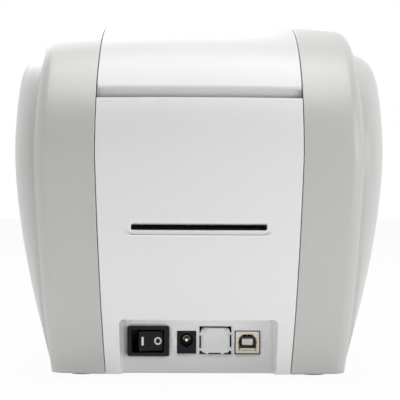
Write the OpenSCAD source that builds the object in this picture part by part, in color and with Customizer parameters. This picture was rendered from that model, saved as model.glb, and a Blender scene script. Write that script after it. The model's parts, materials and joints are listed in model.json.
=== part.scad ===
// Desktop ID card printer: a barrel-shaped case with a white centre band, two grey side shells,
// a rear-hinged top cover and a card path that runs from a front feeder to a slot in the rear panel.
// Units are millimetres. +Z is up, the front faces -Y, and the origin is on the table under the middle.

/* [Case] */
// Depth of the case between its front and rear bulges
body_depth = 340; // [332:2:360]
// Height of the crown above the table
body_height = 188; // [185:1:196]
// Height of the feet, and so of the case's lower edge
foot_h = 3; // [2:0.5:5]
// Thickness of the moulded walls
wall = 2.5; // [2:0.1:3]
// Distance from the rear bulge forward to the crown
crown_setback = 120; // [112:1:126]
// Drop of the rear face's fullest point below the crown
rear_bulge_drop = 74; // [68:1:80]
// Drop of the front face's fullest point below the crown
front_bulge_drop = 104; // [98:1:110]
// How far the rear face tucks in at the bottom
rear_tuck = 34; // [28:1:36]
// How far the front face tucks in at the bottom
front_tuck = 14; // [8:1:20]
// Sideways crown radius of the top
top_crown_r = 800; // [600:20:1200]
// Sideways crown radius of the front and rear faces
end_crown_r = 350; // [300:10:500]

/* [Widths] */
// Width of the white centre band between the grey rims
centre_w = 100.8; // [100:0.2:104]
// How much the centre band narrows on each side at the bottom
centre_taper = 3.6; // [2:0.2:5]
// Gap between a white panel and the rim beside it
panel_gap = 0.7; // [0.5:0.1:1]
// Width of the case across the two rims
rim_w = 159.6; // [152:0.4:164]
// How much the rims narrow on each side at the bottom
rim_taper = 5.1; // [3:0.3:7]
// Radius of the rims' outer corner
rim_round = 6; // [4:0.5:8]
// Width of the case across the two cheeks
cheek_w = 192.4; // [184:0.4:200]
// Depth of the ledge between a rim and its cheek
ledge_d = 9; // [8:0.5:11]
// Length over which a cheek rises out of its shell at the case's lower edge
cheek_rise = 36; // [28:1:42]
// Length over which a cheek rises under the crown
crown_rise = 12; // [9:1:18]
// How much a cheek's width falls away towards the bottom
cheek_fall = 18.5; // [12:0.5:19]
// Depth of the flange along a panel's or rim's inner edge
skirt = 9; // [6:1:10]

/* [Rear panel] */
// Drop of the rear panel's top edge below the crown
panel_top_drop = 48.1; // [46:0.1:52]
// Rise of the cover's rear edge over the rear panel's top edge
cover_lift = 5.3; // [4:0.1:6]
// Depth of the cover's rear edge face
cover_edge = 6.4; // [5:0.2:8]
// Width of the rear card slot
slot_w = 65.3; // [60:0.5:70]
// Height of the rear card slot
slot_h = 3.6; // [3:0.2:4]
// Width of the connector recess at its back plate
recess_w = 75.3; // [74:0.5:78]
// Height of the recess's ceiling above the table
recess_top = 32.1; // [30:0.5:36]
// Distance from the case's rear lower edge forward to the connector plate
recess_depth = 8; // [6:0.5:12]
// Sideways opening of each recess wall between the plate and the skin
recess_draft = 1.4; // [0.5:0.1:2.5]

/* [Connectors] */
// Sideways place of the rocker switch
switch_x = 25.2; // [24.5:0.1:25.2]
// Height of the rocker switch's centre
switch_z = 19.2; // [18.8:0.1:20.5]
// Width of the switch bezel
bezel_w = 21; // [20:0.2:22]
// Height of the switch bezel
bezel_h = 15.2; // [14.6:0.1:15.6]
// Sideways place of the power jack
jack_x = 5.9; // [5:0.1:7]
// Width of the power jack
jack_w = 9; // [8:0.2:10]
// Height of the power jack
jack_h = 11; // [10:0.2:12]
// Sideways place of the network knock-out
blank_x = -8.7; // [-9.5:0.1:-8.5]
// Height of the knock-out's centre
blank_z = 19.6; // [19:0.1:21]
// Width of the knock-out
blank_w = 16.2; // [15:0.2:16.6]
// Height of the knock-out
blank_h = 14.2; // [13:0.2:15]
// Width of the knock-out's slits
slit = 0.8; // [0.6:0.1:1]
// Sideways place of the USB socket
usb_x = -25; // [-27:0.2:-24.4]
// Width of the USB socket
usb_w = 12; // [11.4:0.1:12.4]
// Height of the USB socket
usb_h = 11; // [10.6:0.1:11.4]

/* [Card path] */
// Height of the card path's bed
path_z = 78; // [76:0.5:80]
// Thickness of a card
card_t = 0.8; // [0.5:0.1:0.9]
// Width of the feed rollers' rubber
roller_w = 54; // [50:1:55]
// Radius of the feed rollers
roller_r = 7; // [6:0.5:7.5]
// Radius of the roller shafts
shaft_r = 3; // [2.5:0.25:3.5]
// Radius of the pinch rollers
pinch_r = 4; // [3.5:0.25:4.5]
// Radius of the cleaning roller
cleaning_r = 6; // [5:0.5:6.5]
// Distance from the rear bulge forward to the exit roller
exit_setback = 35; // [34.5:0.5:37]
// Part of the case's depth that the card path leaves free at its two ends
path_margin = 100; // [98:1:104]

/* [Chassis] */
// Inner distance between the chassis plates
chassis_w = 72; // [71:0.5:74]
// Thickness of the chassis plates
plate_t = 1.5; // [1.2:0.1:2]
// Height of the chassis plates' upper edge over the spool axes
plate_rise = 8; // [6:0.5:12]
// Radius of the hinge pins
hinge_pin_r = 2.5; // [2:0.25:3]
// Height of the spool axes over the card path
spool_lift = 46; // [44:0.5:48]
// Radius of the spool journals
journal_r = 3.5; // [3:0.25:4]
// Radius of the full supply roll
supply_r = 20; // [16:1:22]
// Radius of the take-up roll
takeup_r = 11; // [9:1:14]
// Running clearance round shafts and pins
fit_gap = 0.06; // [0.04:0.01:0.08]

/* [Gears] */
// Teeth on each roller gear
roller_teeth = 24;
// Teeth on each idler gear
idler_teeth = 36;
// Teeth on the reduction gear's small wheel
small_teeth = 12;
// Teeth on the reduction gear's large wheel
large_teeth = 30;
// Teeth on the motor pinion
pinion_teeth = 10;
// Face width of the gears
gear_w = 5.5; // [4.5:0.5:6]

/* [Front] */
// Distance from the front bulge back to the cover's front edge
cover_front = 98; // [94:1:102]
// Width of the feeder and output openings
mouth_w = 66; // [65:0.5:68]
// Height of the feeder opening's lower edge
feeder_low = 80.3; // [79.5:0.1:82]
// Drop of the feeder opening's upper edge below the crown
feeder_drop = 55.5; // [54:0.5:58]
// Height of the output opening's lower edge
output_low = 22.5; // [20:0.5:24]
// Height of the output opening's upper edge
output_high = 61; // [60:0.5:61]
// Radius of the door's hinge barrel
barrel_r = 3; // [2.5:0.25:3.5]
// Radius of the front button
button_r = 7; // [5:0.5:8]
// Travel of the front button
button_travel = 1.2; // [0.8:0.1:1.6]

/* [Board] */
// Height of the main board's upper face
board_top = 13.1; // [12.6:0.1:13.4]
// Thickness of the main board
board_t = 1.6; // [1:0.2:2]
// Length of the main board
board_len = 92; // [80:1:100]

/* [Hidden] */
$fn = 48;

// Colours
white = "whitesmoke";
grey = "silver";
black = "#2a2a2c";
rubber = "#3c3c3e";
steel = "#b9bcc0";
cream = "#ece6d8";

// Main places
y_rear = body_depth / 2;
y_front = -body_depth / 2;
z0 = foot_h;
pole = [0, z0];
rear_bulge_z = body_height - rear_bulge_drop;
front_bulge_z = body_height - front_bulge_drop;
rear_panel_top = body_height - panel_top_drop;
feeder_high = body_height - feeder_drop;
spool_z = path_z + spool_lift;
chassis_top = spool_z + plate_rise;
crown_y = y_rear - crown_setback;
front_a = body_depth - crown_setback;
front_bt = body_height - front_bulge_z;
rear_bt = body_height - rear_bulge_z;
top_k = 1 / top_crown_r;
end_k = 1 / end_crown_r;
eps = 0.01;

// Height of a lower ellipse that has tucked in by t at drop v
function lower_b(v, t, a) = v / sqrt(1 - pow(1 - t / a, 2));
front_bb = lower_b(front_bulge_z - z0, front_tuck, front_a);
rear_bb = lower_b(rear_bulge_z - z0, rear_tuck, crown_setback);

// The side profile is four quarter ellipses. Its angle u runs from the front's lower edge, over the
// crown at 90, to the rear's lower edge.
function w_of(u) = u <= 90 ? u : 180 - u;
function b_of(u) = w_of(u) >= 0 ? (u <= 90 ? front_bt : rear_bt) : (u <= 90 ? front_bb : rear_bb);
function prof(u) = u <= 90
    ? [crown_y - front_a * cos(u), front_bulge_z + b_of(u) * sin(u)]
    : [crown_y + crown_setback * cos(180 - u), rear_bulge_z + b_of(u) * sin(180 - u)];
function reach(u) = norm(prof(u) - pole);
function bend(u) = let(s = max(0, sin(w_of(u)))) end_k + (top_k - end_k) * s * s;

// A point at sideways place x and profile angle u, moved d towards the pole under the case's middle
function skin(x, u, d) = let(q = pole + (prof(u) - pole) * (1 - (d + bend(u) * x * x / 2) / reach(u)))
    [x, q[0], q[1]];
function u_front(z) = asin((z - front_bulge_z) / (z >= front_bulge_z ? front_bt : front_bb));
function u_rear(z) = 180 - asin((z - rear_bulge_z) / (z >= rear_bulge_z ? rear_bt : rear_bb));
function u_at_y(y) = acos((crown_y - y) / front_a);
function rear_y(z) = prof(u_rear(z))[0];
function front_y(z) = prof(u_front(z))[0];

// Half widths of the centre band and of the rims at height z
function low_share(z) = max(0, (rear_bulge_z - z) / (rear_bulge_z - z0));
function centre_half(z) = centre_w / 2 - centre_taper * low_share(z);
function rim_half(z) = rim_w / 2 - rim_taper * low_share(z);

u_first = u_front(z0);
u_last = u_rear(z0);
u_cover_front = u_at_y(y_front + cover_front);
u_cover_rear = u_rear(rear_panel_top + cover_lift);
u_panel_top = u_rear(rear_panel_top);

// Hinge of the top cover, set in and down from the cover's rear edge
hinge = prof(u_cover_rear) - [15.8, 3.2];

// Card path
roller_z = path_z - roller_r;
pitch_y = (body_depth - path_margin) / 4;
gear_m = pitch_y / (roller_teeth + idler_teeth);
roller_ys = [for (k = [0:4]) y_rear - exit_setback - k * pitch_y];
idler_ys = [for (k = [0:3]) roller_ys[k] - pitch_y / 2];
platen_y = roller_ys[2];
hopper_back = roller_ys[3] - 2 * roller_r;
reduction = [idler_ys[2], roller_z - gear_m * (idler_teeth + small_teeth) / 2];
motor_axis = reduction - [0, gear_m * (large_teeth + pinion_teeth) / 2];
plate_in = chassis_w / 2;
plate_out = plate_in + plate_t;
bush_r = shaft_r + 2;
bush_flange = 0.8;
gear_x = plate_out + bush_flange + 0.7;
large_x = gear_x + gear_w + 0.5;
base_t = 2.5;
base_top = z0 + base_t;

// Ribbon
supply_y = platen_y + 55;
takeup_y = hopper_back + takeup_r + 6;
guide_ys = [platen_y + 25, platen_y - 27];
guide_z = path_z + 12;
guide_r = 2.5;
film_t = 0.3;
film_z = path_z + card_t + 0.2;
spool_flange_x = plate_in - 3;

// Rear connectors
conn_y = y_rear - rear_tuck - recess_depth;
plate_back = conn_y - wall;
conn_fit = 0.15;
socket_low = board_top;

// Front
door_u = u_front(feeder_high - barrel_r - 0.5);
door_axis = let(p = skin(0, door_u, 1.2)) [p[1], p[2]];
door_half = mouth_w / 2 - 0.8;

// Solid between an outer and an inner grid of points, given as functions of row i and column j
module sheet(n, m, outer, inner) {
    pts = concat(
        [for (i = [0:n - 1], j = [0:m - 1]) outer(i, j)],
        [for (i = [0:n - 1], j = [0:m - 1]) inner(i, j)]
    );
    k = n * m;
    faces = concat(
        [for (i = [0:n - 2], j = [0:m - 2]) let(a = i * m + j) [a, a + m, a + m + 1, a + 1]],
        [for (i = [0:n - 2], j = [0:m - 2]) let(a = k + i * m + j) [a, a + 1, a + m + 1, a + m]],
        [for (i = [0:n - 2]) let(a = i * m) [a + m, a, a + k, a + m + k]],
        [for (i = [0:n - 2]) let(a = i * m + m - 1) [a, a + m, a + m + k, a + k]],
        [for (j = [0:m - 2]) [j, j + 1, j + 1 + k, j + k]],
        [for (j = [0:m - 2]) let(a = (n - 1) * m + j) [a + 1, a, a + k, a + 1 + k]]
    );
    polyhedron(pts, faces, convexity = 8);
}

// Block under the skin between profile angles ua and ub, depths da and db, and half width half(z)
module skin_block(ua, ub, n, da, db, half, grow = 0) {
    m = 7;
    us = [for (i = [0:n]) ua + (ub - ua) * i / n];
    function px(u, j) = (half(prof(u)[1]) + grow) * (2 * j / (m - 1) - 1);
    sheet(n + 1, m,
        function(i, j) skin(px(us[i], j), us[i], da),
        function(i, j) skin(px(us[i], j), us[i], db));
}

// Width that a cheek has at a place on the side
function cheek_x(y, z) = let(
        top = rear_bulge_z + 8,
        low = max(0, top - z) / (top - z0),
        along = (y - 20) / 150
    ) cheek_w / 2 - cheek_fall * pow(low, 1.65) - 5 * along * along;

// Side shells. A point on the side lies at distance d in from the edge and share t of the cheek's rise
function ledge(u) = let(s = max(0, sin(w_of(u)))) ledge_d + ledge_d / 3 * s * s;
function rise(u) = let(s = max(0, sin(w_of(u)))) cheek_rise + (crown_rise - cheek_rise) * s * s;
function on_side(u, d, t, inset) = let(
        q = skin(rim_half(prof(u)[1]), u, d),
        o = rim_half(q[2])
    ) [o + (cheek_x(q[1], q[2]) - o) * t - inset, q[1], q[2]];
function rim(u, from_edge, d) = skin(rim_half(prof(u)[1]) - from_edge, u, d);
rise_steps = [20, 42, 66, 90];

module side_shell() {
    n = 40;
    us = [for (i = [0:n]) u_first + (u_last - u_first) * i / n];
    rings = [0.66, 0.33];
    r = rim_round;
    s = r - wall;
    function inner_edge(u, inset, d) = skin(centre_half(prof(u)[1]) + inset, u, d);
    function mid_rim(u, d) = let(z = prof(u)[1]) skin((centre_half(z) + rim_half(z) - r) / 2, u, d);
    function ring_d(u, g) = let(d = ledge(u) + rise(u)) d + (reach(u) * 0.97 - d) * (1 - g);
    function outer(u) = concat(
        [inner_edge(u, 0, skirt), inner_edge(u, 0, 0), mid_rim(u, 0), rim(u, r, 0)],
        [rim(u, r - r * sin(45), r - r * cos(45)), on_side(u, r, 0, 0), on_side(u, ledge(u), 0, 0)],
        [for (a = rise_steps) on_side(u, ledge(u) + rise(u) * (1 - cos(a)), sin(a), 0)],
        [for (g = rings) on_side(u, ring_d(u, g), 1, 0)]);
    function inner(u) = concat(
        [inner_edge(u, wall, skirt), inner_edge(u, wall, wall), mid_rim(u, wall), rim(u, r, wall)],
        [rim(u, r - s * sin(45), r - s * cos(45)), on_side(u, r, 0, wall)],
        [on_side(u, ledge(u) + wall, 0, wall)],
        [for (a = rise_steps)
            on_side(u, ledge(u) + rise(u) * (1 - cos(a)) + wall * cos(a), sin(a), wall * sin(a))],
        [for (g = rings) on_side(u, ring_d(u, g), 1, wall)]);
    rows_o = [for (u = us) outer(u)];
    rows_i = [for (u = us) inner(u)];
    m = len(rows_o[0]);
    k = (n + 1) * m;
    hub = [cheek_x(pole[0], pole[1]), pole[0], pole[1]];
    pts = concat([for (row = rows_o, p = row) p], [for (row = rows_i, p = row) p],
        [hub, hub - [wall, 0, 0]]);
    faces = concat(
        [for (i = [0:n - 1], j = [0:m - 2]) let(a = i * m + j) [a, a + m, a + m + 1, a + 1]],
        [for (i = [0:n - 1], j = [0:m - 2]) let(a = k + i * m + j) [a, a + 1, a + m + 1, a + m]],
        [for (i = [0:n - 1]) let(a = i * m) [a + m, a, a + k, a + m + k]],
        [for (i = [0:n - 1]) let(a = i * m + m - 1) [a, a + m, 2 * k]],
        [for (i = [0:n - 1]) let(a = k + i * m + m - 1) [a + m, a, 2 * k + 1]],
        [for (j = [0:m - 2]) [j, j + 1, j + 1 + k, j + k]],
        [for (j = [0:m - 2]) let(a = n * m + j) [a + 1, a, a + k, a + 1 + k]],
        [[m - 1, 2 * k, 2 * k + 1, m - 1 + k], [2 * k, n * m + m - 1, n * m + m - 1 + k, 2 * k + 1]]
    );
    polyhedron(pts, faces, convexity = 8);
}

module right_side_shell() { color(grey) side_shell(); }
module left_side_shell() { color(grey) mirror([1, 0, 0]) side_shell(); }

// Shapes that repeat
module x_rod(p, x0, x1, r) { translate([x0, p[0], p[1]]) rotate([0, 90, 0]) cylinder(h = x1 - x0, r = r); }
module block(x0, x1, y0, y1, z0, z1) { translate([x0, y0, z0]) cube([x1 - x0, y1 - y0, z1 - z0]); }
module both() { children(); mirror([1, 0, 0]) children(); }
// Plate between x0 and x1 with the side-view outline pts of [y, z] points
module x_plate(x0, x1, pts) {
    translate([x0, 0, 0]) rotate([90, 0, 90]) linear_extrude(x1 - x0) polygon(pts);
}
// Places children with their z axis along the skin's outward normal at x and profile angle u
module on_skin(x, u, d = 0) {
    p = skin(x, u, d);
    w = w_of(u);
    a = u <= 90 ? front_a : crown_setback;
    tilt = atan2((u <= 90 ? -1 : 1) * b_of(u) * cos(w), a * sin(w));
    translate(p) rotate([-tilt, 0, 0]) children();
}

// Base
foot_r = 8;
foot_x = 60;
foot_ys = [y_rear - 66, y_front + 52];
screw_r = 1.5;
tab_len = 14;
tab_ys = [y_rear - 70, 0, y_front + 66];
tab_x = plate_out + 7;
board_front = plate_back - 3.5 - board_len;
post_x = plate_in - 5;
post_ys = [board_front + 5, board_front + board_len - 22];
edge_fit = 0.4;

function tray_side(u) = concat(
    [let(p = skin(centre_half(z0) + wall + 1, u, wall + edge_fit)) [p[0], p[1]]],
    [let(p = rim(u, rim_round + 1, wall + edge_fit)) [p[0], p[1]]],
    [let(p = on_side(u, rim_round + 1, 0, wall + edge_fit)) [p[0], p[1]]],
    [for (a = concat([0], rise_steps))
        let(p = on_side(u, ledge(u) + rise(u) * (1 - cos(a)) + wall, sin(a), wall + edge_fit))
        [p[0], p[1]]]);
function flipped(pts) = [for (i = [len(pts) - 1:-1:0]) pts[i]];

module base_tray() color(black) {
    right = concat(tray_side(u_last), flipped(tray_side(u_first)));
    outline = concat(right, flipped([for (p = right) [-p[0], p[1]]]));
    notch_half = centre_half(z0) + wall + 1 - 0.01;
    rear_cut = min(plate_back, skin(notch_half, u_last, skirt)[1]) - edge_fit;
    front_cut = skin(notch_half, u_first, skirt)[1] + edge_fit;
    difference() {
        translate([0, 0, z0]) linear_extrude(base_t) polygon(outline);
        block(-notch_half, notch_half, rear_cut, y_rear, 0, base_top + 1);
        block(-notch_half, notch_half, y_front, front_cut, 0, base_top + 1);
        for (y = tab_ys) both() translate([tab_x, y, 0]) cylinder(h = base_top + 1, r = screw_r + fit_gap);
    }
    for (y = post_ys) both() translate([post_x, y, base_top - eps]) difference() {
        cylinder(h = board_top - board_t - base_top, r = screw_r + 2);
        translate([0, 0, 1]) cylinder(h = board_top, r = screw_r + fit_gap);
    }
}

module rubber_feet() color(rubber)
    for (y = foot_ys) both() translate([foot_x, y, 0]) {
        cylinder(h = foot_h / 2, r1 = foot_r - 0.8, r2 = foot_r);
        translate([0, 0, foot_h / 2]) cylinder(h = foot_h / 2, r = foot_r);
    }

// Case panels
function panel_half(z) = centre_half(z) - panel_gap;
function panel_us(a, b, n) = [for (i = [0:n]) a + (b - a) * i / n];
// Panel whose two sides have a flange of depth depth(u)
module flanged_panel(us, depth) {
    shares = [-1, -1, -0.6, -0.2, 0.2, 0.6, 1, 1];
    m = len(shares);
    function at_edge(j) = j <= 1 || j >= m - 2;
    function ends(j) = j == 0 || j == m - 1;
    sheet(len(us), m,
        function(i, j) skin(panel_half(prof(us[i])[1]) * shares[j], us[i], ends(j) ? depth(us[i]) : 0),
        function(i, j) let(
                h = panel_half(prof(us[i])[1]),
                x = at_edge(j) ? sign(shares[j]) * (h - wall) : h * shares[j]
            ) skin(x, us[i], ends(j) ? depth(us[i]) : wall));
}

recess_mouth = recess_w / 2 + recess_draft;
slot_z = path_z + card_t / 2 - 0.2;
module recess_outline(extra, y_in, y_out) {
    slope = recess_draft / recess_depth;
    polygon([
        [-recess_w / 2 - extra, y_in], [recess_w / 2 + extra, y_in],
        [recess_w / 2 + extra + slope * (y_out - conn_y), y_out],
        [-recess_w / 2 - extra - slope * (y_out - conn_y), y_out]
    ]);
}
module conn_hole(x, z, w, h) { block(x - w / 2 - conn_fit, x + w / 2 + conn_fit, plate_back - 1, conn_y + 1,
    z - h / 2 - conn_fit, z + h / 2 + conn_fit); }
switch_body_w = bezel_w - 2;
switch_body_h = bezel_h - 2;
jack_z = socket_low + jack_h / 2;
usb_z = socket_low + usb_h / 2;

// Slits round the network knock-out, with four bridges left standing
module knock_out_slits() {
    bridge = 2;
    difference() {
        block(blank_x - blank_w / 2, blank_x + blank_w / 2, plate_back - 1, conn_y + 1,
            blank_z - blank_h / 2, blank_z + blank_h / 2);
        block(blank_x - blank_w / 2 + slit, blank_x + blank_w / 2 - slit, plate_back - 2, conn_y + 2,
            blank_z - blank_h / 2 + slit, blank_z + blank_h / 2 - slit);
        for (z = [blank_z + blank_h * 0.22, blank_z - blank_h * 0.3])
            block(blank_x - blank_w, blank_x + blank_w, plate_back - 2, conn_y + 2, z, z + bridge);
        for (x = [blank_x - blank_w * 0.28, blank_x + blank_w * 0.28])
            block(x - bridge / 2, x + bridge / 2, plate_back - 2, conn_y + 2, 0, blank_z);
    }
}

// Trough behind the cover's hinge, which closes the gap that the cover's rear edge swings through
module hinge_trough() {
    r = norm(prof(u_cover_rear) - hinge) + 0.9;
    angles = [-13, -27, -41, -55, -69, -83];
    function at(rr, i) = hinge + rr * [cos(angles[i]), sin(angles[i])];
    function place(j) = (panel_half(rear_panel_top) - 0.05) * (j / 3 - 1);
    function shifted(x, q) = skin(x, u_panel_top, 0) + [0, q[0] - prof(u_panel_top)[0], q[1] - prof(u_panel_top)[1]];
    sheet(len(angles), 7,
        function(i, j) shifted(place(j), at(r + wall, i)),
        function(i, j) shifted(place(j), at(r, i)));
}

module rear_panel() {
    us = panel_us(u_panel_top, u_last, 24);
    swing = norm([cover_edge, cover_lift]) + 14;
    depth = function(u) wall + (skirt - wall) * max(0, min(1, (hinge[1] - swing - prof(u)[1]) / 10));
    wall_top = recess_top + wall;
    color(white) difference() {
        union() {
            flanged_panel(us, depth);
            hinge_trough();
            intersection() {
                linear_extrude(wall_top) recess_outline(wall, plate_back, y_rear);
                skin_block(u_rear(wall_top + 6), u_last, 5, wall / 2, rear_tuck + recess_depth + 20,
                    function(z) panel_half(z) - wall);
            }
        }
        intersection() {
            translate([0, 0, -1]) linear_extrude(recess_top + 1) recess_outline(0, conn_y, y_rear + 5);
            union() {
                block(-recess_w, recess_w, conn_y - 1, y_rear + 6, -1, recess_top - 2.5);
                block(2.5 - recess_mouth, recess_mouth - 2.5, conn_y - 1, y_rear + 6, -1, recess_top);
                both() translate([recess_mouth - 2.5, conn_y - 1, recess_top - 2.5]) rotate([-90, 0, 0])
                    cylinder(h = y_rear, r = 2.5);
            }
        }
        block(-slot_w / 2, slot_w / 2, conn_y, y_rear + 5, slot_z - slot_h / 2, slot_z + slot_h / 2);
        conn_hole(switch_x, switch_z, switch_body_w, switch_body_h);
        conn_hole(jack_x, jack_z, jack_w, jack_h);
        conn_hole(usb_x, usb_z, usb_w, usb_h);
        knock_out_slits();
    }
}

module front_panel() {
    us = panel_us(u_first, u_cover_front - 0.2, 24);
    color(white) difference() {
        union() {
            difference() {
                flanged_panel(us, function(u) skirt);
                block(-mouth_w / 2, mouth_w / 2, y_front - 1, hopper_front + 12, feeder_low, feeder_high);
                block(-mouth_w / 2, mouth_w / 2, y_front - 1, hopper_front - 1, output_low, output_high);
            }
            both() x_rod(door_axis, mouth_w / 2 + 0.01, mouth_w / 2 + 5, barrel_r);
            both() on_skin(0, button_u) translate([board_post_x, 0, -post_len]) cylinder(h = post_len - 2, r = 3);
        }
        x_rod(door_axis, -mouth_w / 2 - 6, mouth_w / 2 + 6, door_pin_r + fit_gap);
        on_skin(0, button_u) translate([0, 0, -8]) cylinder(h = 12, r = button_r + 0.3);
        for (x = light_xs) on_skin(x, button_u) translate([0, 0, -8]) cylinder(h = 12, r = light_r + fit_gap);
        on_skin(0, latch_u) block(-latch_stem_w / 2 - 0.4, latch_stem_w / 2 + 0.4,
            -latch_stem_l / 2 - latch_travel - 0.4, latch_stem_l / 2 + 0.4, -8, 4);
    }
}

// Front fittings
hopper_front = y_front + 24;
button_drop = 42;
latch_drop = 25;
button_u = u_front(body_height - button_drop);
latch_u = u_front(body_height - latch_drop);
door_pin_r = 1.5;
light_r = 1.5;
light_xs = [-20, -14.5, 14.5, 20];
board_post_x = 26;
post_len = 10;
latch_travel = 4;
latch_stem_w = 12;
latch_stem_l = 5;

// Inner corner of the cover's rear edge, where the inner faces of its skin and its edge meet
edge_dir = -[cover_edge, cover_lift - 0.4] / norm([cover_edge, cover_lift - 0.4]);
edge_end = prof(u_cover_rear) - [cover_edge, cover_lift - 0.4];
edge_in = [edge_dir[1], -edge_dir[0]];
skin_dir = let(p = prof(u_cover_rear), q = prof(u_cover_rear - 2)) (q - p) / norm(q - p);
skin_in = [-abs(skin_dir[1]), -abs(skin_dir[0])];
function cross2(a, b) = a[0] * b[1] - a[1] * b[0];
edge_corner = let(p = prof(u_cover_rear), a = p + wall * skin_in, b = p + wall * edge_in)
    a + skin_dir * cross2(b - a, edge_dir) / cross2(skin_dir, edge_dir);

module top_cover() {
    us = panel_us(u_cover_front, u_cover_rear, 22);
    n = len(us);
    shares = [-1, -1, -0.6, -0.2, 0.2, 0.6, 1, 1];
    m = len(shares);
    last = n - 1;
    function at_edge(j) = j <= 1 || j >= m - 2;
    function ends(j) = j == 0 || j == m - 1;
    // A point q of the profile, shifted as the skin is at angle u and sideways place x
    function shifted(x, q, u) = skin(x, u, 0) + [0, q[0] - prof(u)[0], q[1] - prof(u)[1]];
    function half(i) = panel_half(prof(us[min(i, last)])[1]);
    function lip(i) = i < last - 1 ? skirt : i == last - 1 ? skirt * 0.7 : 4;
    color(white) sheet(n + 1, m,
        function(i, j) let(x = half(i) * shares[j])
            i > last ? (ends(j) ? shifted(x, edge_end + 1.2 * edge_in, us[last]) : shifted(x, edge_end, us[last]))
            : i == last && ends(j) ? shifted(x, edge_corner + 0.45 * (edge_end - prof(us[last])), us[last])
            : skin(x, us[i], ends(j) ? lip(i) : 0),
        function(i, j) let(x = at_edge(j) ? sign(shares[j]) * (half(i) - wall) : half(i) * shares[j])
            i > last ? (ends(j) ? shifted(x, edge_end + 1.2 * edge_in, us[last])
                : shifted(x, edge_end + wall * edge_in, us[last]))
            : i == last ? (ends(j) ? shifted(x, edge_corner + 0.45 * (edge_end - prof(us[last])), us[last])
                : shifted(x, edge_corner, us[last]))
            : skin(x, us[i], ends(j) ? lip(i) : wall));
}

// Chassis
ear_r = 6;
rod_r = 2.5;
low_rod = [board_front + board_len - 10, 40];
front_rod = [platen_y - 55, 60];
spools = [[supply_y, spool_z], [takeup_y, spool_z]];
guides = [for (y = guide_ys) [y, guide_z]];
studs = concat([for (y = idler_ys) [y, roller_z]], [reduction]);
plate_front = roller_ys[4] - 13;
plate_rear = roller_ys[0] + bush_r + 6;
swing_r = norm([cover_edge, cover_lift]) + 10;

module chassis_outline() {
    low_rear = recess_top + wall + 3;
    polygon([
        [plate_front, base_top], [plate_back - 6, base_top], [plate_back - 6, low_rear],
        [plate_rear, low_rear + 8], [plate_rear, hinge[1] - swing_r - 6], [hinge[0] - 5, hinge[1] - 16],
        [hinge[0] - 5, hinge[1]], [hinge[0] - 12, hinge[1]], [hinge[0] - 18, chassis_top],
        [plate_front + 12, chassis_top], [plate_front, chassis_top - 12]
    ]);
    translate(hinge) circle(ear_r);
}

module chassis_plate() {
    module hole(p, r) { x_rod(p, plate_in - 1, plate_out + 1, r); }
    difference() {
        union() {
            translate([plate_in, 0, 0]) rotate([90, 0, 90]) linear_extrude(plate_t) chassis_outline();
            for (y = tab_ys) block(plate_in, tab_x + 6, y - tab_len / 2, y + tab_len / 2, base_top, base_top + plate_t);
        }
        for (y = tab_ys) translate([tab_x, y, 0]) cylinder(h = base_top + 5, r = screw_r + fit_gap);
        for (y = roller_ys) hole([y, roller_z], bush_r);
        for (p = spools) {
            hole(p, journal_r + fit_gap);
            block(plate_in - 1, plate_out + 1, p[0] - journal_r - fit_gap, p[0] + journal_r + fit_gap,
                p[1], chassis_top + 1);
        }
        hole(hinge, hinge_pin_r);
        for (p = concat(guides, [low_rod, front_rod])) hole(p, rod_r);
        for (p = studs) hole(p, stud_r);
        hole(motor_axis, pinion_r + 2);
    }
}
module right_chassis_plate() { color(steel) chassis_plate(); }
module left_chassis_plate() { color(steel) mirror([1, 0, 0]) chassis_plate(); }

module chassis_rods() color(steel)
    for (p = concat(guides, [low_rod, front_rod])) {
        x_rod(p, -plate_out, plate_out, rod_r);
        both() x_rod(p, plate_out, plate_out + 1.2, rod_r + 1.5);
    }

module roller_bushings() color(cream)
    for (y = roller_ys) both() difference() {
        union() {
            x_rod([y, roller_z], plate_in, plate_out, bush_r);
            x_rod([y, roller_z], plate_out, plate_out + bush_flange, bush_r + 1.5);
        }
        x_rod([y, roller_z], 0, 50, shaft_r + fit_gap);
    }

module gear_studs() color(steel)
    for (p = studs) let(end = p[1] == roller_z ? gear_x + gear_w : large_x + gear_w) {
        x_rod(p, plate_in, end + 0.3, stud_r);
        x_rod(p, plate_out, gear_x - 0.3, stud_r + 2);
        x_rod(p, end + 0.3, end + 1.3, stud_r + 1.2);
    }

// Gears. Thin trapezoid teeth leave a little backlash
stud_r = 2.5;
pinion_r = gear_m * pinion_teeth / 2;
motor_shaft_r = 1.5;
module gear_outline(n, phase) {
    rp = gear_m * n / 2;
    function half_w(r) = (gear_m * PI / 4 - 0.25 - (r - rp) * tan(20)) / r * 180 / PI;
    ro = rp + gear_m * 0.92;
    ri = rp - gear_m * 1.2;
    polygon([for (i = [0:n - 1], c = [[ri, -1], [ro, -1], [ro, 1], [ri, 1]])
        let(a = phase + i * 360 / n + c[1] * max(0.4, half_w(c[0]))) c[0] * [cos(a), sin(a)]]);
}
module gear(p, x, w, n, phase, bore) {
    difference() {
        translate([x, p[0], p[1]]) rotate([90, 0, 90]) linear_extrude(w) gear_outline(n, phase);
        x_rod(p, x - 1, x + w + 1, bore);
    }
}

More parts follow.
